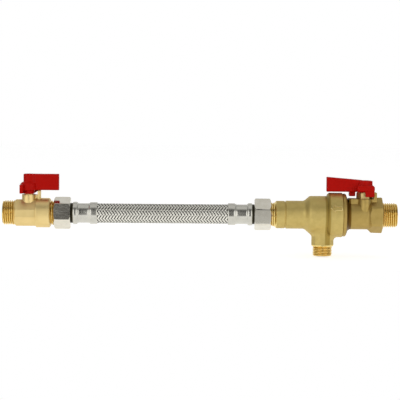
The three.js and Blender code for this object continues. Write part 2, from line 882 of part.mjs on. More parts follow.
// Annular section drawn straight along the hose
function sleeve(from, to, bore, radius, step) {
  const section = new THREE.Shape(polygon(braidSides, radius));
  section.holes.push(new THREE.Path(polygon(braidSides, bore)));
  const path = new THREE.LineCurve3(new THREE.Vector3(from, 0, 0), new THREE.Vector3(to, 0, 0));
  const steps = Math.max(1, Math.round((to - from) / step));
  return solid(new THREE.ExtrudeGeometry(section, { steps, extrudePath: path }));
}

function hose() {
  const braidStart = ferruleEnd + slideGap;
  const braidBore = linerRadius + slideGap;
  const linerEnd = hoseLength - linerStart;
  const liner = sleeve(linerStart, linerEnd, linerRadius - linerWall, linerRadius, hoseLength);
  const braid = sleeve(braidStart, hoseLength - braidStart, braidBore, braidRadius, braidStep);
  const farEnd = hoseEnd("right", rightNutTurn);
  farEnd.position.x = hoseLength;
  farEnd.rotation.z = Math.PI;
  return placed(
    sealingFace,
    hoseEnd("left", leftNutTurn),
    farEnd,
    piece("hose_liner", liner, "epdm"),
    piece("hose_braid", braid, "braid"),
  );
}

// Places along the backflow preventer, from its outlet thread's end at x = 0
const neckEnd = outletThreadLength + outletNeckChamfer;
const grooveStart = neckEnd + outletCollarLength;
const outletBarrelStart = grooveStart + outletGrooveLength;
const outletConeStart = outletBarrelStart + outletBarrelLength;
const shellStart = outletConeStart + outletConeLength;
const clampStart = shellStart + chamberShellLength;
const jointFace = clampStart + clampRingLength;
const branchX = shellStart + branchFromShell;
const ventFloor = shellStart + ventChamberWall;
const spigotStart = jointFace - jointThreadLength + slideGap;
const spigotRadius = jointThreadRadius - screwGap;
const cartridgeStart = neckEnd + cartridgeStop;
const cartridgeEnd = cartridgeStart + cartridgeLength;
const cartridgeHole = cartridgeRadius + screwGap;
const ringGrooveStart = cartridgeEnd + touchGap;
const ventSeatOuter = cartridgeHole + ventSeatWidth / 2;
const ventSeatTop = ventFloor + ventSeatProud;
const rimEnd = jointFace + rimLength;
const barrelStart = rimEnd + rimShoulder;
const barrelEnd = barrelStart + barrelLength;
const hexEnd = barrelEnd + hexLength;
const inletEnd = hexEnd + undercutLength + inletThreadLength;
const rightStemX = barrelStart + rightStemFromBarrel;
const rightChamber = rightBallRadius + chamberGap;
const rightSeatFace = seatFace(rightBallRadius);
const retainerStart = rightStemX - rightSeatFace - retainerLength;

// Raised outline of an arrow on the near side of the clamping ring, pointing with the flow
function flowArrow() {
  const arrow = (inset) => {
    const tip = clampStart + clampRingChamfer + arrowSetback + inset * arrowInset.tip;
    const neck = tip + arrowHeadLength + inset * arrowInset.neck;
    const tail = tip + arrowLength + inset * arrowInset.tail;
    const head = arrowHeadHalf - inset * arrowInset.head;
    const shaft = arrowShaftHalf - inset;
    const points = [
      [tip, 0],
      [neck, -head],
      [neck, -shaft],
      [tail, -shaft],
      [tail, shaft],
      [neck, shaft],
      [neck, head],
    ];
    const outline = outlineOf(points.map(([x, z]) => [x, z + arrowHeight]));
    return prism("y", outline, -clampRingRadius - past, -clampRingRadius / 2);
  };
  const skin = turned(rod(clampStart, jointFace, clampRingRadius + arrowRelief));
  return cut(arrow(0), arrow(arrowLine)).intersect(skin);
}

function outletBody() {
  const outside = turned([
    [0, 0],
    ...halfInchThread(0, outletThreadLength),
    [outletThreadLength, halfInchRadius],
    [neckEnd, outletCollarRadius],
    [grooveStart, outletCollarRadius],
    [grooveStart + outletGrooveSlope, outletGrooveRadius],
    [outletBarrelStart - outletGrooveSlope, outletGrooveRadius],
    [outletBarrelStart, outletBarrelRadius],
    [outletConeStart, outletBarrelRadius],
    [shellStart, chamberShellRadius],
    [clampStart, chamberShellRadius],
    [clampStart, clampRingRadius - clampRingChamfer],
    [clampStart + clampRingChamfer, clampRingRadius],
    [jointFace - smallEdge, clampRingRadius],
    [jointFace, clampRingRadius - smallEdge],
    [jointFace, 0],
  ]);
  const prismCorner = Math.PI / branchCorners;
  const branchOutline = polygon(branchCorners, branchRadius, prismCorner);
  const branchPrism = prism("z", branchOutline, -branchPrismBottom - past, 0);
  const threadTop = branchPrismBottom + branchChamfer;
  const branchEnd = -threadTop - branchThreadLength;
  const branchTurned = standing(
    [
      [0, 0],
      [0, branchRadius + touchGap],
      [-branchPrismBottom, branchRadius + touchGap],
      [-threadTop, threeEighthsRadius - threeEighthsDepth / 2],
      [-threadTop, 0],
    ],
    0,
    wideSides,
  );
  const thread = standing(
    [
      [-branchPrismBottom, 0],
      [-branchPrismBottom, threeEighthsRadius - threeEighthsDepth],
      ...threadProfile(branchEnd, -threadTop, threeEighthsRadius, threeEighthsDepth).reverse(),
      [branchEnd, 0],
    ],
    0,
    wideSides,
  );
  const branchTop = solid(geometryOf(branchPrism.intersect(branchTurned)).translate(branchX, 0, 0));
  const branchThread = solid(geometryOf(thread).translate(branchX, 0, 0));
  const bores = turned([
    [-past, 0],
    [-past, portRadius],
    [cartridgeStart, portRadius],
    [cartridgeStart, cartridgeHole],
    [ventFloor - ventSeatDepth, cartridgeHole],
    [ventFloor - ventSeatDepth, ventSeatOuter + screwGap],
    [ventFloor, ventSeatOuter + screwGap],
    [ventFloor, ventChamberRadius],
    [jointFace - jointThreadLength, ventChamberRadius],
    [jointFace - jointThreadLength, jointThreadRadius],
    [jointFace + past, jointThreadRadius],
    [jointFace + past, 0],
  ]);
  const drain = standing(rod(0, branchEnd - past, branchBore), branchX);
  return cut(joined(outside, branchTop, branchThread, flowArrow()), bores, drain);
}

function inletBody() {
  const ringX = jointFace - bodyRingPlace;
  const ringHalf = bodyRingWire / 2 + touchGap;
  const threadStart = hexEnd + undercutLength;
  const outside = turned([
    [spigotStart, 0],
    [spigotStart, spigotRadius - smallEdge],
    [spigotStart + smallEdge, spigotRadius],
    [ringX - ringHalf, spigotRadius],
    [ringX - ringHalf, spigotRadius - bodyRingWire],
    [ringX + ringHalf, spigotRadius - bodyRingWire],
    [ringX + ringHalf, spigotRadius],
    [jointFace, spigotRadius],
    [jointFace, rimRadius],
    [rimEnd, rimRadius],
    [barrelStart - rimFoot, barrelRadius + rimShoulder / 2],
    [barrelStart, barrelRadius],
    [barrelEnd + past, barrelRadius],
    [barrelEnd + past, halfInchRadius - halfInchDepth],
    ...halfInchThread(inletEnd, threadStart).reverse(),
    [inletEnd, 0],
  ]);
  const corner = hexagonCorner(hexAcrossFlats);
  const hexagon = prism("x", polygon(6, corner, Math.PI / 6), barrelEnd, hexEnd);
  const hexTurned = turned([
    [barrelEnd, 0],
    [barrelEnd, hexCornerRadius - hexChamfer],
    [barrelEnd + hexChamfer, hexCornerRadius],
    [hexEnd - hexBackChamfer, hexCornerRadius],
    [hexEnd, hexCornerRadius - hexBackChamfer],
    [hexEnd, 0],
  ]);
  const oval = new THREE.Shape();
  oval.absellipse(rightStemX, 0, bossHalfLength, bossHalfWidth, 0, 2 * Math.PI);
  const boss = prism("z", new THREE.Shape(oval.getPoints(smallSides).slice(0, -1)), 0, bossTop);
  const lugX = [rightStemX + rightLugInner, rightStemX + lugOuter];
  const across = [-landHalfWidth, landHalfWidth];
  const land = block([barrelStart, lugX[1]], across, [barrelRadius / 2, bossTop]);
  const spotFace = block([rightStemX, lugX[0]], across, [bossTop, bossTop + past]);
  const lug = block(lugX, across, [barrelRadius / 2, rightLugTop]);
  const bores = turned([
    [spigotStart - past, 0],
    [spigotStart - past, ventChamberRadius],
    [rimEnd - smallEdge, ventChamberRadius],
    [barrelStart, rightChamber + screwGap],
    [rightStemX + rightSeatFace, rightChamber + screwGap],
    [rightStemX + rightSeatFace, rightBallBore],
    [inletEnd - portDepth - portCone, rightBallBore],
    [inletEnd - portDepth, portRadius],
    [inletEnd + past, portRadius],
    [inletEnd + past, 0],
  ]);
  const stemBore = standing(rod(0, bossTop + past, glandSpigotRadius + screwGap), rightStemX);
  const flange = cut(hexagon.intersect(hexTurned), spotFace);
  return cut(joined(outside, flange, boss, land, lug), bores, stemBore);
}

// Hexagon gland nut that holds the stem down in its boss
const glandBottom = washerTop(rightBallRadius) + touchGap;
const glandTop = rightBladeBottom - slideGap;

function glandNut() {
  const corner = hexagonCorner(glandAcrossFlats);
  const hexagon = prism("z", polygon(6, corner), bossTop, glandTop);
  const edges = standing([
    [bossTop, 0],
    [bossTop, corner],
    [glandTop - glandEdge, corner],
    [glandTop, corner - glandEdge],
    [glandTop, 0],
  ]);
  const spigot = standing(rod(glandBottom, bossTop + past, glandSpigotRadius));
  const bore = standing(rod(glandBottom - past, glandTop + past, stemRadius + stemBoreGap));
  return cut(joined(hexagon.intersect(edges), spigot), bore);
}

// Domed cup with slots through its wall, clipped into the seat retainer
function strainer() {
  const closedEnd = retainerStart - strainerLength;
  const inner = strainerRadius - strainerWall;
  const cup = turned(
    [
      [closedEnd, 0],
      [closedEnd, strainerRadius - strainerEdge],
      [closedEnd + strainerEdge, strainerRadius],
      [retainerStart, strainerRadius],
      [retainerStart, inner],
      [closedEnd + strainerEdge + strainerWall / 2, inner],
      [closedEnd + strainerWall, inner - strainerEdge],
      [closedEnd + strainerWall, 0],
    ],
    smallSides,
  );
  const slots = [];
  for (let i = 0; i < strainerSlots; i += 1) {
    const across = 2 * (strainerRadius + past);
    const slot = new THREE.BoxGeometry(strainerSlotLength, across, strainerSlotWidth);
    slot.translate(retainerStart - strainerSlotFromRetainer - strainerSlotLength / 2, 0, 0);
    slots.push(solid(slot.rotateX((i * Math.PI) / strainerSlots)));
  }
  return cut(cup, ...slots);
}

// Piston: head in the wide bore, hollow sleeve that closes the vent seat when it moves left
const headStart = jointFace - pistonHeadBack - pistonHeadLength;
const headEnd = headStart + pistonHeadLength;
const sleeveEnd = ventSeatTop + touchGap + pistonTravel;
const headRadius = ventChamberRadius - slideGap;
const sealX = headStart + pistonHeadLength / 2;

function ventPiston() {
  const sealHalf = pistonSealWire / 2 + touchGap;
  return turned(
    [
      [sleeveEnd, pistonSleeveBore],
      [sleeveEnd, pistonSleeveRadius],
      [headStart, pistonSleeveRadius],
      [headStart, headRadius],
      [sealX - sealHalf, headRadius],
      [sealX - sealHalf, headRadius - pistonSealWire],
      [sealX + sealHalf, headRadius - pistonSealWire],
      [sealX + sealHalf, headRadius],
      [headEnd, headRadius],
      [headEnd, checkSeatBore],
      [headEnd - checkSeatLength, checkSeatBore],
      [headEnd - checkSeatLength, pistonSleeveBore],
    ],
    smallSides,
  );
}

// Poppet of a check valve: opens towards -X, its face a slide gap from the seat's and its stem
// running to the middle of the guide's bush
function poppet(guideX, seatX) {
  const face = seatX - slideGap;
  const stemEnd = guideX + guideThickness / 2;
  return turned(
    [
      [stemEnd, 0],
      [stemEnd, poppetStemRadius],
      [face - poppetThickness, poppetStemRadius],
      [face - poppetThickness, poppetRadius - poppetEdge],
      [face - poppetThickness / 2, poppetRadius],
      [face, poppetRadius],
      [face, checkSeatBore - slideGap],
      [face + poppetNose, checkSeatBore - slideGap - poppetNose],
      [face + poppetNose, 0],
    ],
    smallSides,
  );
}

// Webs of a guide: a central bush on three webs, joined to a wall or a rim round it
function guideSpider(from, radius) {
  const bush = turned(rod(from, from + guideThickness, guideBossRadius), smallSides);
  const webs = [];
  for (let i = 0; i < guideWebs; i += 1) {
    const web = new THREE.BoxGeometry(guideThickness, guideWebWidth, radius);
    web.translate(from + guideThickness / 2, 0, radius / 2);
    webs.push(solid(web.rotateX((i * 2 * Math.PI) / guideWebs)));
  }
  return joined(bush, ...webs);
}

const guideHole = (from) =>
  turned(rod(from - past, from + guideThickness + past, poppetStemRadius + slideGap), smallSides);

const inletGuideX = sleeveEnd + inletGuideInset;
const inletSeatX = headEnd - checkSeatLength;
const outletGuideX = cartridgeStart + outletGuideInset;
const outletSeatX = cartridgeEnd - checkSeatLength;

function inletCheckGuide() {
  const outer = pistonSleeveBore - screwGap;
  const rimEdge = outer - guideRim;
  const rim = turned(pipe(inletGuideX, inletGuideX + guideThickness, rimEdge, outer), smallSides);
  return cut(joined(rim, guideSpider(inletGuideX, rimEdge + guideWebRoot)), guideHole(inletGuideX));
}

function outletCheckHousing() {
  const ringX = cartridgeStart + cartridgeRingPlace;
  const half = cartridgeRingWire / 2 + touchGap;
  const tube = turned(
    [
      [cartridgeStart, cartridgeBore],
      [cartridgeStart, cartridgeRadius],
      [ringX - half, cartridgeRadius],
      [ringX - half, cartridgeRadius - cartridgeRingWire],
      [ringX + half, cartridgeRadius - cartridgeRingWire],
      [ringX + half, cartridgeRadius],
      [cartridgeEnd, cartridgeRadius],
      [cartridgeEnd, checkSeatBore],
      [outletSeatX, checkSeatBore],
      [outletSeatX, cartridgeBore],
    ],
    smallSides,
  );
  const webs = guideSpider(outletGuideX, cartridgeBore + guideWebRoot);
  return cut(joined(tube, webs), guideHole(outletGuideX));
}

function checkSpring(guideX, seatX) {
  const from = guideX + guideThickness + touchGap;
  const to = seatX - slideGap - poppetThickness - touchGap;
  return spring(from, to, checkSpringRadius, checkSpringWire, checkSpringTurns);
}

const rightRingZ = (bossTop + glandTop) / 2;
const rightStem = {
  ballRadius: rightBallRadius,
  ballBore: rightBallBore,
  flangeRadius: glandSpigotRadius - slideGap,
  ringZ: rightRingZ,
  squareZ: glandTop + slideGap / 2,
  top: rightStemTop,
};

function mainsValve() {
  const retainerBore = rightBallBore + seatBoreOver;
  const retainer = pipe(retainerStart, retainerStart + retainerLength, retainerBore, rightChamber);
  const turning = placed(
    rightStemX,
    piece("right_ball", ball(rightBallRadius, rightBallBore), "chromedBall"),
    piece("right_stem", stem(rightStem), "turnedBrass"),
    piece("right_stem_oring", stemRing(rightRingZ), "rubber"),
    piece("right_lever", rightLever(), "redNylon"),
    piece("right_lever_screw", leverScrew(rightStemTop), "nickel"),
  );
  const still = placed(
    rightStemX,
    piece("right_seat_inner", seat(-1, rightBallRadius, rightBallBore), "ptfe"),
    piece("right_seat_outer", seat(1, rightBallRadius, rightBallBore), "ptfe"),
    piece("right_stem_washer", stemWasher(rightBallRadius, glandSpigotRadius - slideGap), "ptfe"),
    piece("gland_nut", glandNut(), "turnedBrass"),
  );
  return placed(
    0,
    piece("inlet_body", inletBody(), "castBrass"),
    piece("seat_retainer", turned(retainer, smallSides), "turnedBrass"),
    piece("inlet_strainer", strainer(), "stainless"),
    still,
    turning,
  );
}

// Soft ring that lies in a groove as deep as the ring is thick
function grooveRing(x, grooveTop, wire, sides) {
  return ringAlongX(x, grooveTop - wire / 2 + touchGap / 2, wire - touchGap, sides);
}

function ventSeat() {
  const bore = cartridgeHole - ventSeatWidth / 2;
  return turned(pipe(ventFloor - ventSeatDepth, ventSeatTop, bore, ventSeatOuter), smallSides);
}

function pistonSpring() {
  const radius = (pistonSleeveRadius + ventChamberRadius) / 2;
  return spring(ventFloor + touchGap, headStart - touchGap, radius, pistonSpringWire, pistonSpringTurns);
}

function backflowPreventer() {
  const bodyRing = grooveRing(jointFace - bodyRingPlace, spigotRadius, bodyRingWire, wideSides);
  const pistonSeal = grooveRing(sealX, headRadius, pistonSealWire, smallSides);
  const housingRingX = cartridgeStart + cartridgeRingPlace;
  const housingRing = grooveRing(housingRingX, cartridgeRadius, cartridgeRingWire, smallSides);
  const clip = pipe(ringGrooveStart, ringGrooveStart + retainingRing, retainingRingBore, cartridgeRadius);
  return placed(
    sealingFace + hoseLength,
    piece("outlet_body", outletBody(), "castBrass"),
    piece("body_oring", bodyRing, "rubber"),
    piece("vent_piston", ventPiston(), "acetal"),
    piece("piston_seal", pistonSeal, "rubber"),
    piece("piston_spring", pistonSpring(), "springSteel"),
    piece("vent_seat", ventSeat(), "rubber"),
    piece("inlet_check_poppet", poppet(inletGuideX, inletSeatX), "acetal"),
    piece("inlet_check_spring", checkSpring(inletGuideX, inletSeatX), "springSteel"),
    piece("inlet_check_guide", inletCheckGuide(), "acetal"),
    piece("outlet_check_housing", outletCheckHousing(), "acetal"),
    piece("outlet_check_oring", housingRing, "rubber"),
    piece("outlet_check_poppet", poppet(outletGuideX, outletSeatX), "acetal"),
    piece("outlet_check_spring", checkSpring(outletGuideX, outletSeatX), "springSteel"),
    piece("check_retaining_ring", turned(clip, smallSides), "springSteel"),
    mainsValve(),
  );
}

const fillingLoop = new THREE.Group();
fillingLoop.add(miniValve(), hose(), backflowPreventer());

export default fillingLoop;
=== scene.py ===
import math

import bmesh
import bpy
import numpy as np
from mathutils import Matrix, Vector


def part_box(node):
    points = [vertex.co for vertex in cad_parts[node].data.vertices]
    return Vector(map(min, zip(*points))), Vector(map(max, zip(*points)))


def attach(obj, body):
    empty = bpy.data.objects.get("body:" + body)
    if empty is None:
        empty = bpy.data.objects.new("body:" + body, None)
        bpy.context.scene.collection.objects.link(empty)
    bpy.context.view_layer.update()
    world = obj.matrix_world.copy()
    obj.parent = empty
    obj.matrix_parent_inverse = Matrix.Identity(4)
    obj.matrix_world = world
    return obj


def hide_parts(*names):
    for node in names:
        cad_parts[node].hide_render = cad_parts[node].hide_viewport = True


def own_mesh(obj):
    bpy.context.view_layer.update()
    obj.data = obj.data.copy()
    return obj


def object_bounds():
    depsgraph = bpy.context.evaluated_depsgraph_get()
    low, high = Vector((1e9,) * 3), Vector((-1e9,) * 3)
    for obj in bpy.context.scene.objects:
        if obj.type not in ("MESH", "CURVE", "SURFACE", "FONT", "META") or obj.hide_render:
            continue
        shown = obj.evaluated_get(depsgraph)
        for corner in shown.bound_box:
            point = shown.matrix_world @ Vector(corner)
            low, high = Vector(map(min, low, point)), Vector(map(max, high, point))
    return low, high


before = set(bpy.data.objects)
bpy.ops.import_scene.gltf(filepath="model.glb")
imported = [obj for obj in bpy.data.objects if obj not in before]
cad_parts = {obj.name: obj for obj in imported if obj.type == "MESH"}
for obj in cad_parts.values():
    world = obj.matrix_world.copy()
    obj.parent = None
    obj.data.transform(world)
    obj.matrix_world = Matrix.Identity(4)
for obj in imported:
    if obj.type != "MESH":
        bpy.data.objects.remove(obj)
cad_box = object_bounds()

# Camera. The picture was taken square on to the pipe with a long lens, from a little above it, and the pipe
# hangs a touch lower at its right end. One pixel is 0.85 mm at the pipe.
pixel = 0.00085
picture_pixels = 400
thread_end_column = 3.2
pipe_row = 213.9
camera_distance = 1.35
camera_height_angle = math.radians(4)
camera_roll = math.radians(0.46)

camera_data = bpy.data.cameras.new("camera")
camera_data.lens = camera_data.sensor_width * camera_distance / (picture_pixels * pixel)
camera = bpy.data.objects.new("camera", camera_data)
bpy.context.scene.collection.objects.link(camera)
looking = Vector((0, math.cos(camera_height_angle), -math.sin(camera_height_angle)))
middle = Vector((
    (picture_pixels / 2 - thread_end_column) * pixel,
    0,
    (pipe_row - picture_pixels / 2) * pixel / math.cos(camera_height_angle),
))
turn = looking.to_track_quat("-Z", "Y").to_matrix().to_4x4()
camera.matrix_world = (
    Matrix.Translation(middle - camera_distance * looking) @ turn @ Matrix.Rotation(camera_roll, 4, "Z")
)
bpy.context.scene.camera = camera
bpy.context.scene.view_settings.view_transform = "Standard"

# Hose. A black EPDM tube inside a braid of bright stainless wire. Twelve strands run each way round it, six
# wires to a strand, and each strand passes over two and under two of the others.
MM = 0.001
strands_each_way = 12
braid_pitch = 31.0
wires_in_strand = 6
wire_diameter = 0.22
strand_crown = 0.12
braid_over_radius = 8.1
braid_under_radius = 7.62
braid_phase = math.radians(-16)
braid_tuck = 0.7
steps_per_strand = 264
# How far past its limits the swing over and under is driven, so that a strand stays up or down for a while
braid_dwell = 1.7
# Heights of a wire's crest, of the valley between two wires and of the strand's back, in wire diameters
wire_crest, wire_valley, strand_back = 0.5, 0.1, -0.38
liner_bore = 5.2
liner_radius = 7.2


def skin(name, grids, loop_rows=False):
    """One mesh object from grids of points in millimetres, each rows by columns by 3. Every cell is a face,
    the columns run round to their start, and the rows do too or else end in a point or a closed row.
    The faces are turned outwards by the sign of the volume that they hold."""
    corners, faces, start = [], [], 0
    for grid in grids:
        rows, columns = grid.shape[:2]
        index = start + np.arange(rows * columns).reshape(rows, columns)
        if loop_rows:
            index = np.vstack([index, index[:1]])
        index = np.hstack([index, index[:, :1]])
        cells = [index[:-1, :-1], index[1:, :-1], index[1:, 1:], index[:-1, 1:]]
        quads = np.stack(cells, axis=-1).reshape(-1, 4)
        points = grid.reshape(-1, 3) * MM
        a, b, c, d = (points[quads[:, k] - start] for k in range(4))
        volume = (a * (np.cross(b, c) + np.cross(c, d))).sum()
        faces.append(quads if volume > 0 else quads[:, ::-1])
        corners.append(points)
        start += rows * columns
    corners, faces = np.vstack(corners), np.vstack(faces)
    mesh = bpy.data.meshes.new(name)
    mesh.vertices.add(len(corners))
    mesh.vertices.foreach_set("co", corners.ravel())
    mesh.loops.add(faces.size)
    mesh.loops.foreach_set("vertex_index", faces.ravel())
    mesh.polygons.add(len(faces))
    mesh.polygons.foreach_set("loop_start", np.arange(0, faces.size, 4))
    mesh.update(calc_edges=True)
    return linked(name, mesh, 1e-7)


def linked(name, mesh, near):
    """An object of the mesh in the scene, once its points nearer than near have become one."""
    merged = bmesh.new()
    merged.from_mesh(mesh)
    bmesh.ops.remove_doubles(merged, verts=merged.verts, dist=near)
    merged.to_mesh(mesh)
    merged.free()
    thing = bpy.data.objects.new(name, mesh)
    bpy.context.scene.collection.objects.link(thing)
    return thing


def shaded(thing, *materials, crease=32):
    """Smooth shading that breaks where two faces meet at more than the crease angle, and the materials."""
    thing.data.shade_smooth()
    thing.data.set_sharp_from_angle(angle=math.radians(crease))
    thing.data.materials.clear()
    for material in materials:
        thing.data.materials.append(material)


def fitted(thing, body, finish_slot, *nodes):
    """The piece rides on its body and stands for its CAD nodes, which it hides. The finish slot is not used.
    """
    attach(thing, body)
    if nodes:
        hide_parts(*nodes)


def place(node):
    """Lowest and highest corner of a CAD node in millimetres."""
    low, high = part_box(node)
    return np.array(low) / MM, np.array(high) / MM


def colour(code):
    """Linear RGBA of an sRGB hex colour."""
    srgb = np.array([int(code[i : i + 2], 16) for i in (1, 3, 5)]) / 255
    linear = np.where(srgb <= 0.04045, srgb / 12.92, ((srgb + 0.055) / 1.055) ** 2.4)
    return (*linear.tolist(), 1.0)


def add(tree, kind, links=None, **settings):
    """Adds one shader node. Links gives each input a number, a colour, one of another node's outputs, or a
    node, which stands for its first output."""
    node = tree.nodes.new("ShaderNode" + kind)
    for key, value in settings.items():
        setattr(node, key, value)
    for key, value in (links or {}).items():
        if isinstance(value, bpy.types.Node):
            value = value.outputs[0]
        if isinstance(value, bpy.types.NodeSocket):
            tree.links.new(value, node.inputs[key])
        else:
            node.inputs[key].default_value = value
    return node


def emptied(owner):
    """The node tree of a material or of the world, with nothing in it."""
    owner.use_nodes = True
    owner.node_tree.nodes.clear()
    return owner.node_tree


def grain(tree, size, detail, low, high):
    """Soft blobs on object coordinates that measure size, in millimetres along X, Y and Z. The middle of the
    noise's range is carried to low..high."""
    links = {"Vector": add(tree, "TexCoord").outputs["Object"], "Scale": [1 / (axis * MM) for axis in size]}
    noise = add(tree, "TexNoise", {"Vector": add(tree, "Mapping", links), "Scale": 1.0, "Detail": detail})
    links = {"Value": noise, "From Min": 0.3, "From Max": 0.7, "To Min": low, "To Max": high}
    return noise, add(tree, "MapRange", links)


def finish(
    name, dark, light, rough, marks, mottle=(6, 6, 6), depth=0.004, metallic=1.0, ior=1.5, painted_groove_shade=None,
    round_axis=(0, 1, 1), centre=(0, 0, 0),
):
    """Two close colours in soft patches of the mottle size, roughness from the first to the second of rough,
    and marks of the given size and depth. Sizes are in millimetres along X, Y and Z. The groove shade is
    painted shade, laid into the metal's colour by its distance from an axis where shade falls in threads and
    between strands: it gives the radius under which the metal is clear, the one at which it is darkest, the
    one past which it is clear again, and the dark colour. The axis runs through the centre and is the 0 in
    round_axis."""
    material = bpy.data.materials.new(name)
    tree = emptied(material)
    patches = grain(tree, mottle, 3.0, 0.0, 1.0)[1]
    lines, roughness = grain(tree, marks, 2.0, *rough)
    tint = add(tree, "Mix", {0: patches, 6: colour(dark), 7: colour(light)}, data_type="RGBA").outputs[2]
    if painted_groove_shade:
        # Painted shade: the colour darkens towards the deep radius, where shade falls in the hollows
        inside, deep, clear, shade = painted_groove_shade
        spot = add(tree, "TexCoord").outputs["Object"]
        start = tuple(-axis * MM * way for axis, way in zip(centre, round_axis))
        across = add(tree, "VectorMath", {0: spot, 1: round_axis, 2: start}, operation="MULTIPLY_ADD")
        out = add(tree, "VectorMath", {0: across}, operation="LENGTH").outputs["Value"]
        sides = [
            add(tree, "MapRange", {0: out, 1: foot * MM, 2: top * MM}, interpolation_type="SMOOTHSTEP")
            for foot, top in ((deep, clear), (inside, inside - 0.1))
        ]
        bare = add(tree, "Math", {0: sides[0], 1: sides[1]}, operation="MAXIMUM")
        tint = add(tree, "Mix", {0: bare, 6: colour(shade), 7: tint}, data_type="RGBA").outputs[2]
    shader = add(tree, "BsdfPrincipled", {
        "Base Color": tint,
        "Metallic": metallic,
        "Roughness": roughness,
        "IOR": ior,
        "Normal": add(tree, "Bump", {"Height": lines, "Distance": depth * MM, "Strength": 0.5}),
    })
    add(tree, "OutputMaterial", {"Surface": shader})
    return material


def strand(number, way):
    """One flat strand as a grid in millimetres. Its middle line is a helix about X whose radius swings
    between over and under as a clipped cosine of the angle round the hose, so that bands of the same
    slant run along the hose. Across, the section is a crowned row of half wires on a flat back."""
    low, high = place("hose_braid")
    along = np.linspace(low[0] - braid_tuck, high[0] + braid_tuck, steps_per_strand)
    slope = 2 * np.pi / braid_pitch
    angle = way * slope * (along - low[0]) + 2 * np.pi * number / strands_each_way
    crossing = (angle - braid_phase) * strands_each_way / np.pi
    swing = np.clip(braid_dwell * np.cos(np.pi * (crossing - 0.5) / 2) * way, -1, 1)
    swing = swing * (3 - swing**2) / 2
    middle_radius = (braid_over_radius + braid_under_radius) / 2
    lift = (braid_over_radius - braid_under_radius) / 2
    across = np.linspace(-0.5, 0.5, 2 * wires_in_strand + 1) * wires_in_strand * wire_diameter
    crown = strand_crown * (1 - np.linspace(-1, 1, across.size) ** 2)
    crest = np.where(np.arange(across.size) % 2 == 1, wire_crest, wire_valley) * wire_diameter + crown
    across = np.concatenate([across, across[[-1, 0]]])
    height = np.concatenate([crest, [strand_back * wire_diameter] * 2])
    lean = np.arctan(slope * middle_radius)
    radius = middle_radius + lift * swing[:, None] + height
    x = along[:, None] - way * np.sin(lean) * across
    turned_by = angle[:, None] + np.cos(lean) * across / middle_radius
    return tipped(np.stack([x, radius * np.cos(turned_by), radius * np.sin(turned_by)], axis=-1))


def tipped(grid):
    """The grid with each end row drawn to its middle, which closes the tube."""
    tips = grid[[0, -1]].mean(axis=1, keepdims=True).repeat(grid.shape[1], axis=1)
    return np.concatenate([tips[:1], grid, tips[1:]])


# Bright drawn stainless wire, nearly white where the strands ride over others, with painted shade darkening
# it where they pass under. Its drawing marks are larger than the real ones so that they show
wire_steel = finish(
    "stainless_wire", "#E2E0D6", "#F0EEE4", (0.2, 0.3), (0.4, 0.4, 0.4), depth=0.002,
    painted_groove_shade=(1.0, 7.75, 8.15, "#55534A"),
)
# Extruded EPDM: dull black with a faint bloom
epdm = finish("epdm_rubber", "#161615", "#1F1E1D", (0.62, 0.75), (0.3, 0.3, 0.3), metallic=0.0)

outer_strands = skin("braid_right_hand_strands", [strand(k, 1) for k in range(strands_each_way)])
inner_strands = skin("braid_left_hand_strands", [strand(k, -1) for k in range(strands_each_way)])
for strands in (outer_strands, inner_strands):
    shaded(strands, wire_steel, crease=80)
fitted(outer_strands, "body", "stainless_braid", "hose_braid")
fitted(inner_strands, "body", "stainless_braid")


def rounded(corners, steps=6):
    """Closed outline from corners given as (along, radius, rounding). Each corner becomes a parabola that
    leaves its two sides at the rounding's distance, or at under half a side where that is shorter."""
    corners = np.array([(*c, 0)[:3] for c in corners], float)
    here, reach = corners[:, :2], corners[:, 2:]
    ends = []
    for other in (np.roll(here, 1, axis=0), np.roll(here, -1, axis=0)):
        side = other - here
        length = np.maximum(np.linalg.norm(side, axis=1, keepdims=True), 1e-9)
        ends.append(here + side / length * np.minimum(reach, 0.48 * length))
    s = np.linspace(0, 1, steps)[:, None, None]
    curve = (1 - s) ** 2 * ends[0] + 2 * s * (1 - s) * here + s**2 * ends[1]
    return curve.transpose(1, 0, 2).reshape(-1, 2)


def turned(name, outline, columns=96, limit=None, axis="x", centre=(0, 0, 0), solid=False):
    """Outline of (along, radius) points swept about an axis: the points are radius * (cos, sin) of the
    angle. The outline closes on itself, or on the axis where the piece is solid. Limit takes the places
    along the axis, the radii and the angles round it, and gives the radii of flats, threads or anything
    else that isn't round. About Z, along runs up."""
    angle = np.linspace(0, 2 * np.pi, columns, endpoint=False)[None, :]
    along = np.repeat(outline[:, :1], columns, axis=1)
    radius = np.repeat(outline[:, 1:], columns, axis=1)
    if limit:
        radius = limit(along, radius, angle)
    first, second = radius * np.cos(angle), radius * np.sin(angle)
    grid = {"x": [along, first, second], "z": [first, second, along]}[axis]
    return skin(name, [np.stack(grid, axis=-1) + np.array(centre)], loop_rows=not solid)


liner_low, liner_high = place("hose_liner")
liner = turned("hose_inner_tube", rounded([
    (liner_low[0], liner_bore),
    (liner_low[0], liner_radius),
    (liner_high[0], liner_radius),
    (liner_high[0], liner_bore),
]))
shaded(liner, epdm)
fitted(liner, "body", "epdm_liner", "hose_liner")

# Ferrules. Thin stainless sleeves, drawn bright and crimped down round the middle, which leaves a rolled bead
# at each end: a short one against the nut and a longer one at the mouth that the braid runs into.
ferrule_length = 21.0
ferrule_bead_radius = 9.6
ferrule_waist_radius = 8.35
ferrule_mouth_radius = 9.35
ferrule_mouth_bore = 8.42
ferrule_bore = 7.5
ferrule_eye = 6.6
# Stainless steel after drawing: a clear, slightly soft reflection with fine rings round the sleeve, drawn
# coarser than the real ones so that they show
ferrule_steel = finish(
    "drawn_stainless", "#C6C4BA", "#D2D0C6", (0.16, 0.26), (0.25, 12, 12), depth=0.0015
)


def facing(outline, node):
    """A hose end's outline, measured from its nut side, put in place and turned the right way: both ends
    are the same pieces, turned round."""
    low, high = place(node)
    start, way = (low[0], 1) if node.endswith("left") else (high[0], -1)
    return np.stack([start + way * outline[:, 0], outline[:, 1]], axis=-1)


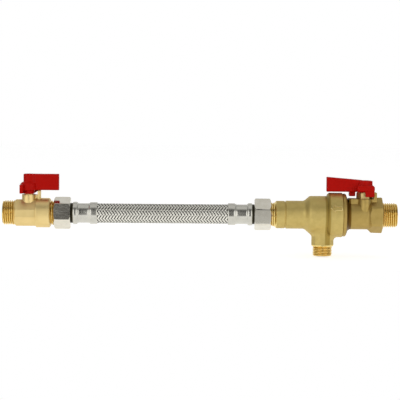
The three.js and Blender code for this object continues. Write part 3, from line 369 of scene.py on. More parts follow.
for side in ("left", "right"):
    node = f"hose_ferrule_{side}"
    sleeve = turned(f"crimped_ferrule_{side}", facing(rounded([
        (0.0, ferrule_eye),
        (0.0, 9.0, 0.5),
        (0.5, ferrule_bead_radius, 0.9),
        (3.7, ferrule_bead_radius, 1.1),
        (4.5, ferrule_waist_radius, 1.1),
        (13.7, ferrule_waist_radius, 1.3),
        (14.7, ferrule_mouth_radius, 1.2),
        (ferrule_length - 0.4, ferrule_mouth_radius, 0.9),
        (ferrule_length, 8.8, 0.5),
        (ferrule_length, ferrule_mouth_bore),
        (18.6, ferrule_mouth_bore),
        (18.6, ferrule_bore),
        (1.2, ferrule_bore),
        (1.2, ferrule_eye),
    ]), node), columns=128)
    shaded(sleeve, ferrule_steel)
    fitted(sleeve, "body", "stainless_ferrule", node)

# Hose tails. Turned brass, drawn dull and nearly black all over, as they show between the nut and the
# ferrule, with a flange for the nut to pull on, and barbs inside the hose.
tail_flange = 1.6
tail_flange_radius = 9.3
tail_neck_end = 3.8
tail_neck_radius = 7.0
tail_shoulder_end = 5.38
tail_shoulder_radius = 8.45
tail_first_barb = 7.2
tail_barbs = 3
tail_barb_radius = 4.9
tail_barb_rise = 0.5
tail_bore = 3.9
# Tail brass: dull and nearly black, with the lathe's rings drawn coarser than the real ones
dark_tail = finish("nearly_black_tail", "#2B2A20", "#3A382B", (0.35, 0.5), (0.3, 8, 8))
for side in ("left", "right"):
    node = f"hose_tail_{side}"
    low, high = place(node)
    tail_length = high[0] - low[0]
    barbs = np.linspace(tail_first_barb, tail_length, tail_barbs + 1)
    teeth = []
    for start, end in zip(barbs[:-1], barbs[1:]):
        teeth.append((start, tail_barb_radius, 0.1))
        teeth.append((end, tail_barb_radius - tail_barb_rise, 0.1))
    tail = turned(f"barbed_tail_{side}", facing(rounded([
        (0, tail_bore, 0.2),
        (0, tail_flange_radius, 0.3),
        (tail_flange, tail_flange_radius, 0.3),
        (tail_flange, tail_neck_radius, 0.2),
        (tail_neck_end, tail_neck_radius, 0.2),
        (tail_neck_end, tail_shoulder_radius, 0.3),
        (tail_shoulder_end, tail_shoulder_radius, 0.3),
        (tail_shoulder_end, tail_barb_radius, 0.1),
        *teeth,
        (tail_length, tail_bore, 0.1),
    ]), node))
    shaded(tail, dark_tail)
    fitted(tail, "body", "blackened_brass", node)

# Union nuts. Hot-stamped brass, milled to a 24 mm hexagon, chamfered on a lathe at both ends and nickel
# plated. The two stopped at different angles when they were tightened.
nut_across_flats = 24.0
nut_length = 14.0
nut_chamfer = 1.0
nut_bore = 10.78
nut_lip = 3.4
nut_lip_bore = 7.3
nut_turns = {"left": -8.7, "right": 6.0}
# Nickel over milled faces: bright, soft and slightly warm, with the cutter's lines along the bar drawn
# coarser than the real ones so that they show
nickel = finish("nickel_plate", "#D9D4C5", "#E3DFD2", (0.08, 0.15), (5, 0.35, 0.35), depth=0.0015)


def flats(angle, count, apothem, first=0.0, sharp=90):
    """Radius of a regular polygon at each angle: the apothem over the sharp-norm of the cosines to its
    flats, which gives the polygon with its corners eased."""
    total = 0
    for k in range(count):
        toward = np.cos(angle - first - 2 * np.pi * k / count)
        total = total + np.maximum(toward, 0) ** sharp
    return apothem / total ** (1 / sharp)


def merged_by(base, joins=(), cuts=()):
    """Joins solids to the base and then cuts others away from it, and leaves one finished mesh."""
    for operation, others in (("UNION", joins), ("DIFFERENCE", cuts)):
        for other in others:
            step = base.modifiers.new(operation.lower(), "BOOLEAN")
            step.operation = operation
            step.solver = "MANIFOLD"
            step.object = other
    final = base.evaluated_get(bpy.context.evaluated_depsgraph_get())
    mesh = bpy.data.meshes.new_from_object(final)
    base.modifiers.clear()
    base.data = mesh
    for other in (*joins, *cuts):
        bpy.data.objects.remove(other)


def milled(base, start, end, shape, outer=22.0, columns=240):
    """Takes the flats off a blank about X with a closed ring whose hole has the radius shape(angle)."""
    angle = np.linspace(0, 2 * np.pi, columns, endpoint=False)
    hole, rim = shape(angle), outer + 0 * angle
    grid = [
        np.stack([x + 0 * angle, reach * np.cos(angle), reach * np.sin(angle)], axis=-1)
        for x, reach in ((start, hole), (start, rim), (end, rim), (end, hole))
    ]
    merged_by(base, cuts=[skin("milled", [np.array(grid)], loop_rows=True)])


for side in ("left", "right"):
    node = f"hose_nut_{side}"
    low, high = place(node)
    corner = nut_across_flats / 2 / math.cos(math.pi / 6)
    blank_radius = corner - 0.1
    face_radius = corner - 1.5
    outline = rounded([
        (0, nut_bore + 0.6, 0.2),
        (0, face_radius, 0.3),
        (nut_chamfer, blank_radius, 0.5),
        (nut_length - nut_chamfer, blank_radius, 0.5),
        (nut_length, face_radius, 0.3),
        (nut_length, nut_lip_bore, 0.2),
        (nut_length - nut_lip, nut_lip_bore),
        (nut_length - nut_lip, nut_bore),
        (0.6, nut_bore),
    ])
    if side == "right":
        outline = np.stack([nut_length - outline[:, 0], outline[:, 1]], axis=-1)
    outline[:, 0] += low[0]
    turn = math.radians(nut_turns[side])
    nut = turned(f"union_nut_{side}", outline, columns=240)
    milled(nut, low[0] - 1, high[0] + 1, lambda angle: flats(angle, 6, nut_across_flats / 2, turn, 60))
    shaded(nut, nickel, crease=24)
    fitted(nut, "body", "nickel_plated_brass", node)

# Mini ball valve body. A brass stamping: an octagonal middle with narrow flats and wide slopes, a collar
# that takes the end piece, a round boss for the stem, and a stop lug on a web. The thread and both ends
# are turned afterwards.
thread_pitch = 1.814
half_inch_radius = 10.4775
thread_chamfer = 1.1
port_radius = 7.25
relief_radius = 9.9
left_thread_end = 9.4
relief_start = 9.45
relief_end = 9.8
octagon_flat = 11.1
octagon_slope = 10.18
octagon_blank = 11.65
octagon_start = 11.5
octagon_end = 28.0
collar_radius = 12.55
collar_end = 40.3
collar_chamfer = 0.9
left_bore = 5.0
left_chamber = 8.9
left_seat_start = 12.9
left_seat_end = 30.9
end_piece_bore = 10.33
boss_root = 4.0
boss_radius = 5.9
boss_top = 15.6
boss_fillet = 0.3
stem_bore = 4.15
stem_flange_bore = 5.05
stem_flange_top = 10.8
lug_start = 7.7
lug_end = 10.1
lug_half_width = 4.0
lug_foot = 9.6
lug_top = 19.0
web_half_width = 1.5
web_foot = 9.0
left_stem = np.array([21.9, 0.0])
# Whitworth form in pitches: the full height of the V, what is rounded off its tip, and the depth that is left
vee_height, vee_tip, vee_depth = 0.9605, 0.16, 0.6403


def dense(outline, step, *bands):
    """The same closed outline with its sides split into pieces no longer than step. Each band gives two
    radii and the shorter step for the sides between them."""
    outline = outline[np.linalg.norm(outline - np.roll(outline, 1, axis=0), axis=1) > 1e-6]
    closed = np.vstack([outline, outline[:1]])
    run = np.concatenate([[0], np.cumsum(np.linalg.norm(np.diff(closed, axis=0), axis=1))])
    steps = np.full(len(outline), step)
    both = np.stack([closed[:-1, 1], closed[1:, 1]])
    for low, high, short in bands:
        steps[(both.min(axis=0) > low) & (both.max(axis=0) < high)] = short
    counts = np.maximum(2, np.ceil(np.diff(run) / steps).astype(int) + 1)
    at = np.concatenate([np.linspace(run[i], run[i + 1], count)[:-1] for i, count in enumerate(counts)])
    return np.stack([np.interp(at, run, closed[:, k]) for k in range(2)], axis=-1)


def thread(along, radius, angle, start, end, crest=half_inch_radius, pitch=thread_pitch):
    """Right-handed Whitworth pipe thread: a 55 degree V of depth 0.64 pitches between rounded crests and
    roots, cut into the stretch from start to end, where the radius is otherwise the crest's."""
    turn_part = ((along - start) / pitch - angle / (2 * np.pi)) % 1
    flank = np.clip((np.abs(2 * turn_part - 1) * vee_height - vee_tip) / vee_depth, 0, 1)
    flank = flank * flank * (3 - 2 * flank)
    cut = crest - vee_depth * pitch * (1 - flank)
    inside = (along > start) & (along < end) & (radius > crest - 1.3)
    return np.where(inside, np.minimum(radius, cut), radius)


def soft_block(low, high, edge, steps=4):
    """Box with rounded edges: the unit normals of a sphere, scaled to the edge's radius and pushed out to
    the box's corners by their signs. The two poles close on the middle of their faces."""
    low, high = np.array(low, float), np.array(high, float)
    half, centre = (high - low) / 2 - edge, (high + low) / 2
    quarter = np.linspace(0.001, np.pi / 2 - 0.001, steps)
    polar = np.concatenate([quarter, quarter + np.pi / 2])[:, None]
    round_by = np.concatenate([quarter + k * np.pi / 2 for k in range(4)])[None, :]
    normal = np.stack([
        np.sin(polar) * np.cos(round_by),
        np.sin(polar) * np.sin(round_by),
        np.cos(polar) + 0 * round_by,
    ], axis=-1)
    grid = centre + np.sign(normal) * half + edge * normal
    poles = [centre + [0, 0, way * (half[2] + edge)] for way in (1, -1)]
    above, below = (np.broadcast_to(pole, (1, grid.shape[1], 3)) for pole in poles)
    return skin("block", [np.concatenate([above, grid, below])])


def fillet_rows(wall, angle, x, surface, fillet, steps, sunk):
    """Radii and heights of the rows of a quarter circle that carries an upright wall out into the surface's
    height at each point. The outermost row is sunk under the surface."""
    rows = []
    for s in np.linspace(1, 0, steps):
        reach = wall + fillet * (1 - np.cos(s * np.pi / 2))
        ground = surface(x + reach * np.cos(angle), reach * np.sin(angle))
        rise = fillet * (1 - np.sin(s * np.pi / 2))
        rows.append((reach, ground + rise - (sunk if s == 1 else 0)))
    return rows


def pillar(radius, bottom, top, centre, surface=None, fillet=0.0, edge=0.3, columns=96):
    """Upright boss. Its radius may vary with the angle. At its foot it spreads by the fillet into the
    surface, and then drops to the bottom inside the body."""
    angle = np.linspace(0, 2 * np.pi, columns, endpoint=False)
    wall = radius(angle) if callable(radius) else np.full(columns, float(radius))
    rows = [(wall * 0, bottom + 0 * wall), (wall, bottom + 0 * wall)]
    if surface:
        wide = wall + fillet
        foot = surface(centre[0] + wide * np.cos(angle), wide * np.sin(angle))
        rows[1] = (wide, np.minimum(bottom, foot - 1.0))
        rows += fillet_rows(wall, angle, centre[0], surface, fillet, 7, 0.02)
    rows += [(wall, top - edge + 0 * wall), (wall - 0.3 * edge, top - 0.3 * edge + 0 * wall)]
    rows += [(wall - edge, top + 0 * wall), (wall * 0, top + 0 * wall)]
    grid = [
        np.stack([centre[0] + r * np.cos(angle), centre[1] + r * np.sin(angle), z], axis=-1)
        for r, z in rows
    ]
    return skin("boss", [np.array(grid)])


def plug(steps, columns=192):
    """Solid of turned (place, radius) steps, each 0.01 mm clear of its bore's wall, that takes away what the
    neighbours put into the bore."""
    outline = np.array([(steps[0][0], 0.01), *steps, (steps[-1][0], 0.01)]) - (0, 0.01)
    return turned("plug", outline, columns, solid=True)


def octagon(angle):
    """Radius of the octagon: the nearer of its narrow flats and its wide slopes."""
    narrow = flats(angle, 4, octagon_flat)
    wide = flats(angle, 4, octagon_slope, np.pi / 4)
    return np.minimum(narrow, wide)


def left_outside(along, radius, angle):
    """Thread at the open end, octagon in the middle, round everywhere else."""
    radius = thread(along, radius, angle, 0.0, left_thread_end)
    middle_part = (along > relief_end) & (along < octagon_end + 0.01) & (radius > relief_radius - 0.5)
    return np.where(middle_part, np.minimum(radius, octagon(angle)), radius)


def left_surface(x, y):
    """Height of the octagon's upper faces, and of the collar beyond them."""
    slope = np.sqrt(2) * octagon_slope - np.abs(y)
    return np.where(x < octagon_end, np.minimum(octagon_flat, slope), np.sqrt(collar_radius**2 - y**2))


def zone(thing, index, inside):
    """Gives the material with that index to the faces whose middle lies inside."""
    middles = np.empty(len(thing.data.polygons) * 3)
    thing.data.polygons.foreach_get("center", middles)
    x, y, z = middles.reshape(-1, 3).T / MM
    chosen = np.zeros(len(x), np.int32)
    thing.data.polygons.foreach_get("material_index", chosen)
    chosen[inside(x, y, z)] = index
    thing.data.polygons.foreach_set("material_index", chosen)


# Stamped and turned brass: pale yellow and satin. The rings from the lathe are drawn coarser than the real
# ones so that they show
pale_brass = finish(
    "turned_pale_brass", "#E2C888", "#EAD192", (0.36, 0.46), (0.22, 9, 9), mottle=(9, 9, 9), depth=0.002
)
# Freshly cut thread in the same brass: bright crests, and painted shade in deep gold at the roots between the
# flanks
cut_brass = {"dark": "#EED484", "light": "#F6DE94", "rough": (0.2, 0.28), "depth": 0.002}
painted_root_shade = "#C09A44"
thread_brass = finish(
    "cut_brass_thread", marks=(0.15, 5, 5), painted_groove_shade=(9.25, 9.3, 9.85, painted_root_shade), **cut_brass
)

left_body = turned("mini_valve_body", dense(rounded([
    (0.0, port_radius, 0.2),
    (0.0, half_inch_radius - thread_chamfer, 0.1),
    (thread_chamfer, half_inch_radius),
    (left_thread_end, half_inch_radius),
    (relief_start, relief_radius),
    (relief_end, relief_radius, 0.1),
    (octagon_start, octagon_blank, 0.2),
    (octagon_end - 0.01, octagon_blank),
    (octagon_end, collar_radius - 0.4, 0.1),
    (octagon_end + 0.4, collar_radius, 0.3),
    (collar_end - collar_chamfer, collar_radius, 0.3),
    (collar_end, collar_radius - collar_chamfer, 0.2),
    (collar_end, end_piece_bore),
    (left_seat_end, end_piece_bore),
    (left_seat_end, left_chamber),
    (left_seat_start, left_chamber),
    (left_seat_start, left_bore),
    (9.0, left_bore, 0.3),
    (7.0, port_radius, 0.3),
]), 0.25, (10.3, 10.6, 0.1)), columns=180, limit=left_outside)
stem_boss = pillar(boss_radius, boss_root, boss_top, left_stem, left_surface, boss_fillet, 0.25)
lug_x, lug_end_x = left_stem[0] + lug_start, left_stem[0] + lug_end
web_x, web_top = left_stem[0], boss_top - 0.1
lug = soft_block((lug_x, -lug_half_width, lug_foot), (lug_end_x, lug_half_width, lug_top), 0.5)
web = soft_block((web_x, -web_half_width, web_foot), (lug_x + 1.0, web_half_width, web_top), 0.4)
stem_hole = pillar(stem_bore, 0.0, boss_top + 2, left_stem, edge=0.01)
flange_hole = pillar(stem_flange_bore, 0.0, stem_flange_top, left_stem, edge=0.01)
chamber = plug([(left_seat_start, left_chamber), (left_seat_end, left_chamber)], 180)
merged_by(left_body, [stem_boss, lug, web], [stem_hole, flange_hole, chamber])
shaded(left_body, pale_brass, thread_brass)
zone(left_body, 1, lambda x, y, z: x < left_thread_end + 0.2)
fitted(left_body, "body", "turned_brass", "left_valve_body")

# End piece of the mini valve. Turned from bar and screwed into the collar, it holds the ball's inner seat and
# carries the thread that the hose's nut runs on.
end_low, end_high = place("left_end_piece")
end_piece_radius = 10.1775
end_neck_radius = 9.4
end_thread_start = collar_end + 0.9


def end_piece_outside(along, radius, angle):
    """Thread from the collar to the sealing face."""
    return thread(along, radius, angle, end_thread_start, end_high[0])


end_piece = turned("mini_valve_end_piece", dense(rounded([
    (end_low[0], left_bore, 0.1),
    (end_low[0], end_piece_radius),
    (collar_end, end_piece_radius),
    (collar_end, end_neck_radius),
    (end_thread_start, end_neck_radius),
    (end_thread_start, half_inch_radius),
    (end_high[0] - thread_chamfer, half_inch_radius),
    (end_high[0], half_inch_radius - thread_chamfer),
    (end_high[0], port_radius, 0.2),
    (end_high[0] - 7.0, port_radius, 0.3),
    (end_high[0] - 9.0, left_bore, 0.3),
]), 0.3, (10.3, 10.6, 0.1)), columns=144, limit=end_piece_outside)
shaded(end_piece, thread_brass)
fitted(end_piece, "body", "turned_brass", "left_end_piece")

# Levers. Glass-filled nylon, moulded in signal red, with eased edges and a fine spark grain from the mould.
# Each sits on its stem's square and is held down by one screw in its recess.
lever_voxel = 0.28
lever_easing = 6
# Red nylon: deep, even and semi-matt. The mould's grain is drawn coarser than the real one so that it shows
red_nylon = finish(
    "red_nylon", "#B60B02", "#BC0C03", (0.34, 0.42), (0.25, 0.25, 0.25), depth=0.008, metallic=0.0, ior=1.17
)


def eased_copy(node, name):
    """A copy of a CAD solid as a moulded piece: its corners merged, remade in small cells and relaxed, which
    rounds every edge and fills the inner corners a little."""
    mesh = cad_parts[node].data.copy()
    mesh.name = name
    thing = linked(name, mesh, 1e-6)
    cells = thing.modifiers.new("cells", "REMESH")
    cells.mode = "VOXEL"
    cells.voxel_size = lever_voxel * MM
    ease = thing.modifiers.new("ease", "SMOOTH")
    ease.factor = 0.5
    ease.iterations = lever_easing
    merged_by(thing)
    return thing


for node, name, body in (
    ("left_lever", "heating_lever_handle", "heating_valve_turn"),
    ("right_lever", "mains_lever_handle", "mains_valve_turn"),
):
    handle = eased_copy(node, name)
    shaded(handle, red_nylon, crease=60)
    fitted(handle, body, "red_nylon", node)

# Lever screws. Small brass pan heads with a cross recess, cold headed and nickel plated. Each is screwed down
# into its stem and holds the lever on the stem's square.
screw_head_radius = 2.8
screw_head_height = 1.8
screw_rim = 0.6
screw_crown_radius = 1.7
screw_shank_radius = 1.4
recess_half_length = 1.7
recess_half_width = 0.45
recess_depth = 1.1
for node, name, body in (
    ("left_lever_screw", "heating_lever_screw", "heating_valve_turn"),
    ("right_lever_screw", "mains_lever_screw", "mains_valve_turn"),
):
    low, high = place(node)
    centre = (low + high) / 2
    under = high[2] - screw_head_height
    screw = turned(name, rounded([
        (low[2], 0),
        (low[2], screw_shank_radius, 0.3),
        (under, screw_shank_radius),
        (under, screw_head_radius, 0.2),
        (under + screw_rim, screw_head_radius, 0.5),
        (high[2], screw_crown_radius, 0.9),
        (high[2], 0),
    ]), columns=48, axis="z", centre=(centre[0], centre[1], 0), solid=True)
    arms = []
    for wide, deep in ((recess_half_length, recess_half_width), (recess_half_width, recess_half_length)):
        arms.append(soft_block(
            (centre[0] - wide, centre[1] - deep, high[2] - recess_depth),
            (centre[0] + wide, centre[1] + deep, high[2] + 1),
            0.1,
        ))
    merged_by(screw, cuts=arms)
    shaded(screw, nickel)
    fitted(screw, body, "nickel_plated_brass", node)

# Outlet body of the backflow preventer. A brass casting: outlet neck, barrel, cone, the round chamber that
# vents to the discharge branch, and the wide clamping ring that the inlet body screws into. The twelve-sided
# branch grows out of the chamber with a soft fillet. Threads, neck and branch end are turned.
outlet_start = place("outlet_body")[0][0]
neck_radius = 11.7
neck_groove_radius = 11.15
outlet_barrel_radius = 11.9
chamber_radius = 16.1
clamp_ring_radius = 18.9
outlet_thread_end = 11.2
outlet_cut_end = 13.3
check_bore = 8.55
check_bore_start = 14.8
vent_seat_start = 41.8
vent_seat_bore = 10.0
vent_start = 43.3
vent_bore = 12.6
joint_start = 62.3
joint_bore = 15.3
branch_x = outlet_start + 53.0
branch_radius = 9.6
branch_apothem = branch_radius * math.cos(math.pi / 12)
branch_root = -8.0
branch_ring_start = -25.4
branch_ring_radius = 9.45
branch_chamfer_start = -26.1
branch_chamfer = 1.6
branch_thread_start = -27.3
branch_end = -34.7
branch_thread_radius = 8.331
branch_thread_pitch = 1.337
branch_bore = 5.8
branch_fillet = 3.2
casting = [
    (0.0, port_radius, 0.2),
    (0.0, half_inch_radius - thread_chamfer, 0.1),
    (thread_chamfer, half_inch_radius),
    (11.9, half_inch_radius - 0.4, 0.2),
    (13.4, neck_radius, 0.25),
    (20.3, neck_radius, 0.3),
    (20.75, neck_groove_radius, 0.2),
    (21.25, neck_groove_radius, 0.2),
    (21.7, outlet_barrel_radius, 0.3),
    (37.0, outlet_barrel_radius, 1.6),
    (41.7, chamber_radius, 1.4),
    (56.5, chamber_radius, 0.5),
    (56.5, 17.4, 0.3),
    (58.0, clamp_ring_radius, 0.5),
    (68.9, clamp_ring_radius, 0.4),
    (69.3, 18.5, 0.2),
    (69.3, joint_bore),
    (joint_start, joint_bore),
    (joint_start, vent_bore),
    (vent_start, vent_bore),
    (vent_start, vent_seat_bore),
    (vent_seat_start, vent_seat_bore),
    (vent_seat_start, check_bore),
    (check_bore_start, check_bore),
    (check_bore_start, port_radius),
]


def outlet_outside(along, radius, angle):
    """Thread on the outlet neck."""
    return thread(along, radius, angle, outlet_start, outlet_start + outlet_thread_end)


def chamber_surface(x, y):
    """Depth of the casting's underside: the chamber's round wall, stepping out to the clamping ring and
    narrowing to the barrel along the cone."""
    places = outlet_start + np.array([36.0, 37.8, 41.0, 42.4, 56.2, 56.7, 58.2, 70.0])
    cone = [outlet_barrel_radius, 12.4, 15.4, chamber_radius]
    step = [chamber_radius, 17.2, clamp_ring_radius, clamp_ring_radius]
    return np.sqrt(np.interp(x, places, cone + step) ** 2 - y**2)


def branch():
    """The branch as one closed shell about its own upright axis: a fillet that leaves the casting along its
    surface and turns down into the twelve-sided wall, a turned ring and chamfer, the thread, the end face
    and the bore."""
    angle = np.linspace(0, 2 * np.pi, 192, endpoint=False)
    wall = flats(angle, 12, branch_apothem, sharp=500)
    flat = 0 * angle
    rows = [(flat + branch_bore, flat + branch_root), (wall + branch_fillet, flat + branch_root)]
    for reach, drop in fillet_rows(wall, angle, branch_x, chamber_surface, branch_fillet, 14, 0.05):
        rows.append((reach, -drop))
    rows.append((wall, flat + branch_ring_start))
    rows.append((np.minimum(wall, branch_ring_radius), flat + branch_ring_start))
    for s in np.linspace(0, 1, 5):
        z = branch_chamfer_start + s * (branch_thread_start - branch_chamfer_start)
        rows.append((np.minimum(wall, branch_ring_radius - branch_chamfer * s), flat + z))
    for z in np.arange(branch_thread_start - 0.02, branch_end + 0.06, -0.1):
        crest = min(branch_thread_radius, branch_thread_radius - 0.8 + (z - branch_end))
        stretch = (branch_end - 1, branch_thread_start, branch_thread_radius, branch_thread_pitch)
        rows.append((thread(flat + z, flat + crest, -angle, *stretch), flat + z))
    rows.append((flat + branch_thread_radius - 0.85, flat + branch_end))
    rows.append((flat + branch_bore, flat + branch_end))
    grid = [
        np.stack([branch_x + r * np.cos(angle), r * np.sin(angle), z], axis=-1) for r, z in rows
    ]
    return skin("branch", [np.array(grid)], loop_rows=True)


def painted_corner_shade(material, start, end, shade):
    """Paints shade on the skin between two places along the pipe, fading over a millimetre at both ends."""
    tree = material.node_tree
    shader = next(node for node in tree.nodes if node.type == "BSDF_PRINCIPLED")
    tint = shader.inputs["Base Color"].links[0].from_socket
    along = add(tree, "SeparateXYZ", {0: add(tree, "TexCoord").outputs["Object"]})
    sides = [
        add(tree, "MapRange", {0: along, 1: edge * MM, 2: inner * MM}, interpolation_type="SMOOTHSTEP")
        for edge, inner in ((start, start + 1), (end, end - 1))
    ]
    amount = add(tree, "Math", {0: sides[0], 1: sides[1]}, operation="MULTIPLY")
    mixed = add(tree, "Mix", {0: amount, 6: tint, 7: colour(shade)}, data_type="RGBA").outputs[2]
    tree.links.new(mixed, shader.inputs["Base Color"])


# Cast brass, tumbled: dull greenish yellow with a fine pebbled skin, a little coarser than the real one so
# that it shows, and faint darker clouds. Painted shade darkens it in the corner at the clamping ring
ring_corner_start = 272.8
ring_corner_end = 278.0
cast_skin = {"rough": (0.44, 0.54), "marks": (0.55, 0.55, 0.55), "mottle": (4, 4, 4), "depth": 0.03}
cast_brass = finish("cast_brass", "#C3AD69", "#CDB772", **cast_skin)
painted_corner_shade(cast_brass, ring_corner_start, ring_corner_end, "#A48C48")
# The discharge branch's thread: cut like the others, with the same painted shade at its roots, about its own
# axis
branch_brass = finish(
    "cut_brass_branch_thread", marks=(5, 5, 0.15), painted_groove_shade=(7.4, 7.5, 7.85, painted_root_shade), round_axis=(1, 1, 0),
    centre=(branch_x, 0, 0), **cut_brass
)
outlet = turned("preventer_outlet_body", dense(rounded(
    [(outlet_start + x, *rest) for x, *rest in casting]
), 1.0, (9.9, 10.6, 0.1)), columns=192, limit=outlet_outside)
drain = pillar(branch_bore, -20.0, -9.0, (branch_x, 0.0), edge=0.01)
bore_steps = plug([(outlet_start + x, radius) for x, radius in (
    (vent_seat_start + 0.2, vent_seat_bore),
    (vent_start, vent_seat_bore),
    (vent_start, vent_bore),
    (joint_start, vent_bore),
    (joint_start, joint_bore),
    (70.0, joint_bore),
)])
merged_by(outlet, [branch()], [bore_steps, drain])
shaded(outlet, cast_brass, thread_brass, branch_brass, crease=28)
zone(outlet, 1, lambda x, y, z: x < outlet_start + outlet_cut_end)
zone(outlet, 2, lambda x, y, z: z < branch_ring_start)
fitted(outlet, "body", "cast_brass", "outlet_body")

# Flow arrow, cast as a raised line on the near side of the clamping ring and pointing the way that the
# water runs.
arrow_tip = 277.7
arrow_height = 6.8
arrow_length = 9.0
arrow_head_length = 3.2
arrow_head_half = 2.6
arrow_shaft_half = 1.4
arrow_line_rise = 0.7
arrow_line_half_width = 0.45


def ridge(path, rise, half_width, ring_radius):
    """Raised line along a closed path on the ring: at each corner the section leans along the corner's
    bisector, and across it the height is half a cosine wave that sinks into the ring at both feet."""
    before, after = path - np.roll(path, 1, axis=0), np.roll(path, -1, axis=0) - path
    normals = []
    for step in (before, after):
        unit = step / np.linalg.norm(step, axis=1, keepdims=True)
        normals.append(np.stack([-unit[:, 1], unit[:, 0]], axis=-1))
    bisector = normals[0] + normals[1]
    miter = bisector / (1 + (normals[0] * normals[1]).sum(axis=1, keepdims=True))
    across = np.array([-1.0, -0.75, -0.4, 0, 0.4, 0.75, 1.0, 0.9, -0.9])
    lift = np.array([-0.15, 0.6, 0.92, 1, 0.92, 0.6, -0.15, -2.0, -2.0]) * rise
    spot = path[:, None, :] + miter[:, None, :] * across[None, :, None] * half_width
    radius = ring_radius + lift[None, :] + 0 * spot[..., 0]
    x, z = arrow_tip + spot[..., 0], arrow_height + spot[..., 1]
    y = -np.sqrt(radius**2 - z**2)
    return skin("flow_arrow", [np.stack([x, y, z], axis=-1)], loop_rows=True)


# Cast brass of the raised line, lighter than the skin around it: a painted highlight for the light that the
# line catches
ridge_highlight_brass = finish("ridge_highlight_brass", "#DCC684", "#E8D494", (0.3, 0.38), (2, 2, 2), depth=0.01)
arrow = ridge(np.array([
    (0, 0),
    (arrow_head_length, -arrow_head_half),
    (arrow_head_length, -arrow_shaft_half),
    (arrow_length, -arrow_shaft_half),
    (arrow_length, arrow_shaft_half),
    (arrow_head_length, arrow_shaft_half),
    (arrow_head_length, arrow_head_half),
]), arrow_line_rise, arrow_line_half_width, clamp_ring_radius)
shaded(arrow, ridge_highlight_brass, crease=50)
fitted(arrow, "body", "cast_brass")

# Inlet body. The second casting: its rim closes the clamping ring, then a round barrel with an oval boss for
# the gland nut, a flat land, a stop lug, a 27 mm hexagon with a long front chamfer, and the mains thread.
inlet_low, inlet_high = place("inlet_body")
spigot_radius = 15.15
oring_groove_start = 285.05
oring_groove_end = 286.25
oring_groove_radius = 14.05
rim_start = 288.0
rim_end = 290.6
rim_radius = 18.2
barrel_radius = 12.1
hex_across_flats = 27.0
hex_start = 310.1
hex_end = 321.9
inlet_neck_radius = 9.4
inlet_thread_start = 322.6
inlet_bore = 5.6
right_chamber = 9.95
right_seat_start = 293.1
right_seat_end = 315.9
right_stem = np.array([306.9, 0.0])
oval_half_length = 7.4
oval_half_width = 11.7
oval_top = 14.2
land_half_width = 7.0
land_start = 293.3
land_end = 317.0
land_foot = 7.0
spot_face_start = 303.0
spot_face_top = 17.0
right_lug_start = 314.1
right_lug_foot = 11.0
right_lug_top = 19.5
gland_thread_bore = 5.65


def inlet_outside(along, radius, angle):
    """Thread at the open end."""
    return thread(along, radius, angle, inlet_thread_start, inlet_high[0])


def barrel_surface(x, y):
    """Height of the barrel's upper side."""
    return np.sqrt(barrel_radius**2 - np.minimum(np.abs(y), barrel_radius - 0.05) ** 2)


def oval(angle):
    """Radius of an ellipse at each angle from the pipe's direction."""
    return (
        oval_half_length * oval_half_width
        / np.hypot(oval_half_width * np.cos(angle), oval_half_length * np.sin(angle))
    )


# Cast brass of the inlet: the same skin, a shade darker and browner, partly its own tone and partly painted
# shade for the lever's shadow over it, and painted shade in the corner behind its rim
cast_brass_inlet = finish("cast_brass_brown", "#B09655", "#BAA05E", **cast_skin)
painted_corner_shade(cast_brass_inlet, rim_end, rim_end + 5.0, "#6B4E1C")
inlet = turned("preventer_inlet_body", dense(rounded([
    (inlet_low[0], vent_bore),
    (inlet_low[0], spigot_radius - 0.25),
    (inlet_low[0] + 0.3, spigot_radius),
    (oring_groove_start, spigot_radius),
    (oring_groove_start, oring_groove_radius),
    (oring_groove_end, oring_groove_radius),
    (oring_groove_end, spigot_radius),
    (rim_start, spigot_radius),
    (rim_start, rim_radius - 0.5, 0.2),
    (rim_start + 0.5, rim_radius, 0.3),
    (rim_end, rim_radius, 0.4),
    (291.2, 17.4, 0.4),
    (292.7, 13.3, 0.6),
    (294.2, barrel_radius, 0.9),
    (hex_start - 0.6, barrel_radius, 0.6),
    (hex_start + 0.2, 12.7, 0.2),
    (hex_start + 2.4, 14.9, 0.5),
    (hex_end - 0.6, 15.2, 0.3),
    (hex_end, 14.7, 0.2),
    (hex_end, inlet_neck_radius),
    (inlet_thread_start, inlet_neck_radius),
    (inlet_thread_start, half_inch_radius),
    (inlet_high[0] - thread_chamfer, half_inch_radius),
    (inlet_high[0], half_inch_radius - thread_chamfer, 0.1),
    (inlet_high[0], port_radius, 0.2),
    (inlet_high[0] - 7.0, port_radius, 0.3),
    (inlet_high[0] - 9.0, inlet_bore, 0.3),
    (right_seat_end, inlet_bore),
    (right_seat_end, right_chamber),
    (right_seat_start, right_chamber),
    (rim_end, vent_bore),
]), 1.0, (10.3, 10.6, 0.1)), columns=192, limit=inlet_outside)
milled(inlet, hex_start, hex_end + 1, lambda angle: flats(angle, 6, hex_across_flats / 2))
oval_boss = pillar(oval, boss_root, oval_top, right_stem, barrel_surface, 0.3, 0.3, columns=144)
land = soft_block((land_start, -land_half_width, land_foot), (land_end, land_half_width, oval_top), 0.35)
right_lug = soft_block(
    (right_lug_start, -land_half_width, right_lug_foot), (land_end, land_half_width, right_lug_top), 0.5
)
gland_hole = pillar(gland_thread_bore, 0.0, oval_top + 2, right_stem, edge=0.01)
spot_face = soft_block(
    (spot_face_start, -land_half_width - 0.2, oval_top),
    (right_lug_start, land_half_width + 0.2, spot_face_top),
    0.1,
)
ball_chamber = plug([(right_seat_start, right_chamber), (right_seat_end, right_chamber)])
merged_by(inlet, [oval_boss, land], [spot_face, gland_hole, ball_chamber])
merged_by(inlet, [right_lug])
shaded(inlet, cast_brass_inlet, thread_brass, crease=26)
zone(inlet, 1, lambda x, y, z: (x > hex_end - 0.3) | (x < rim_start))
fitted(inlet, "body", "cast_brass", "inlet_body")

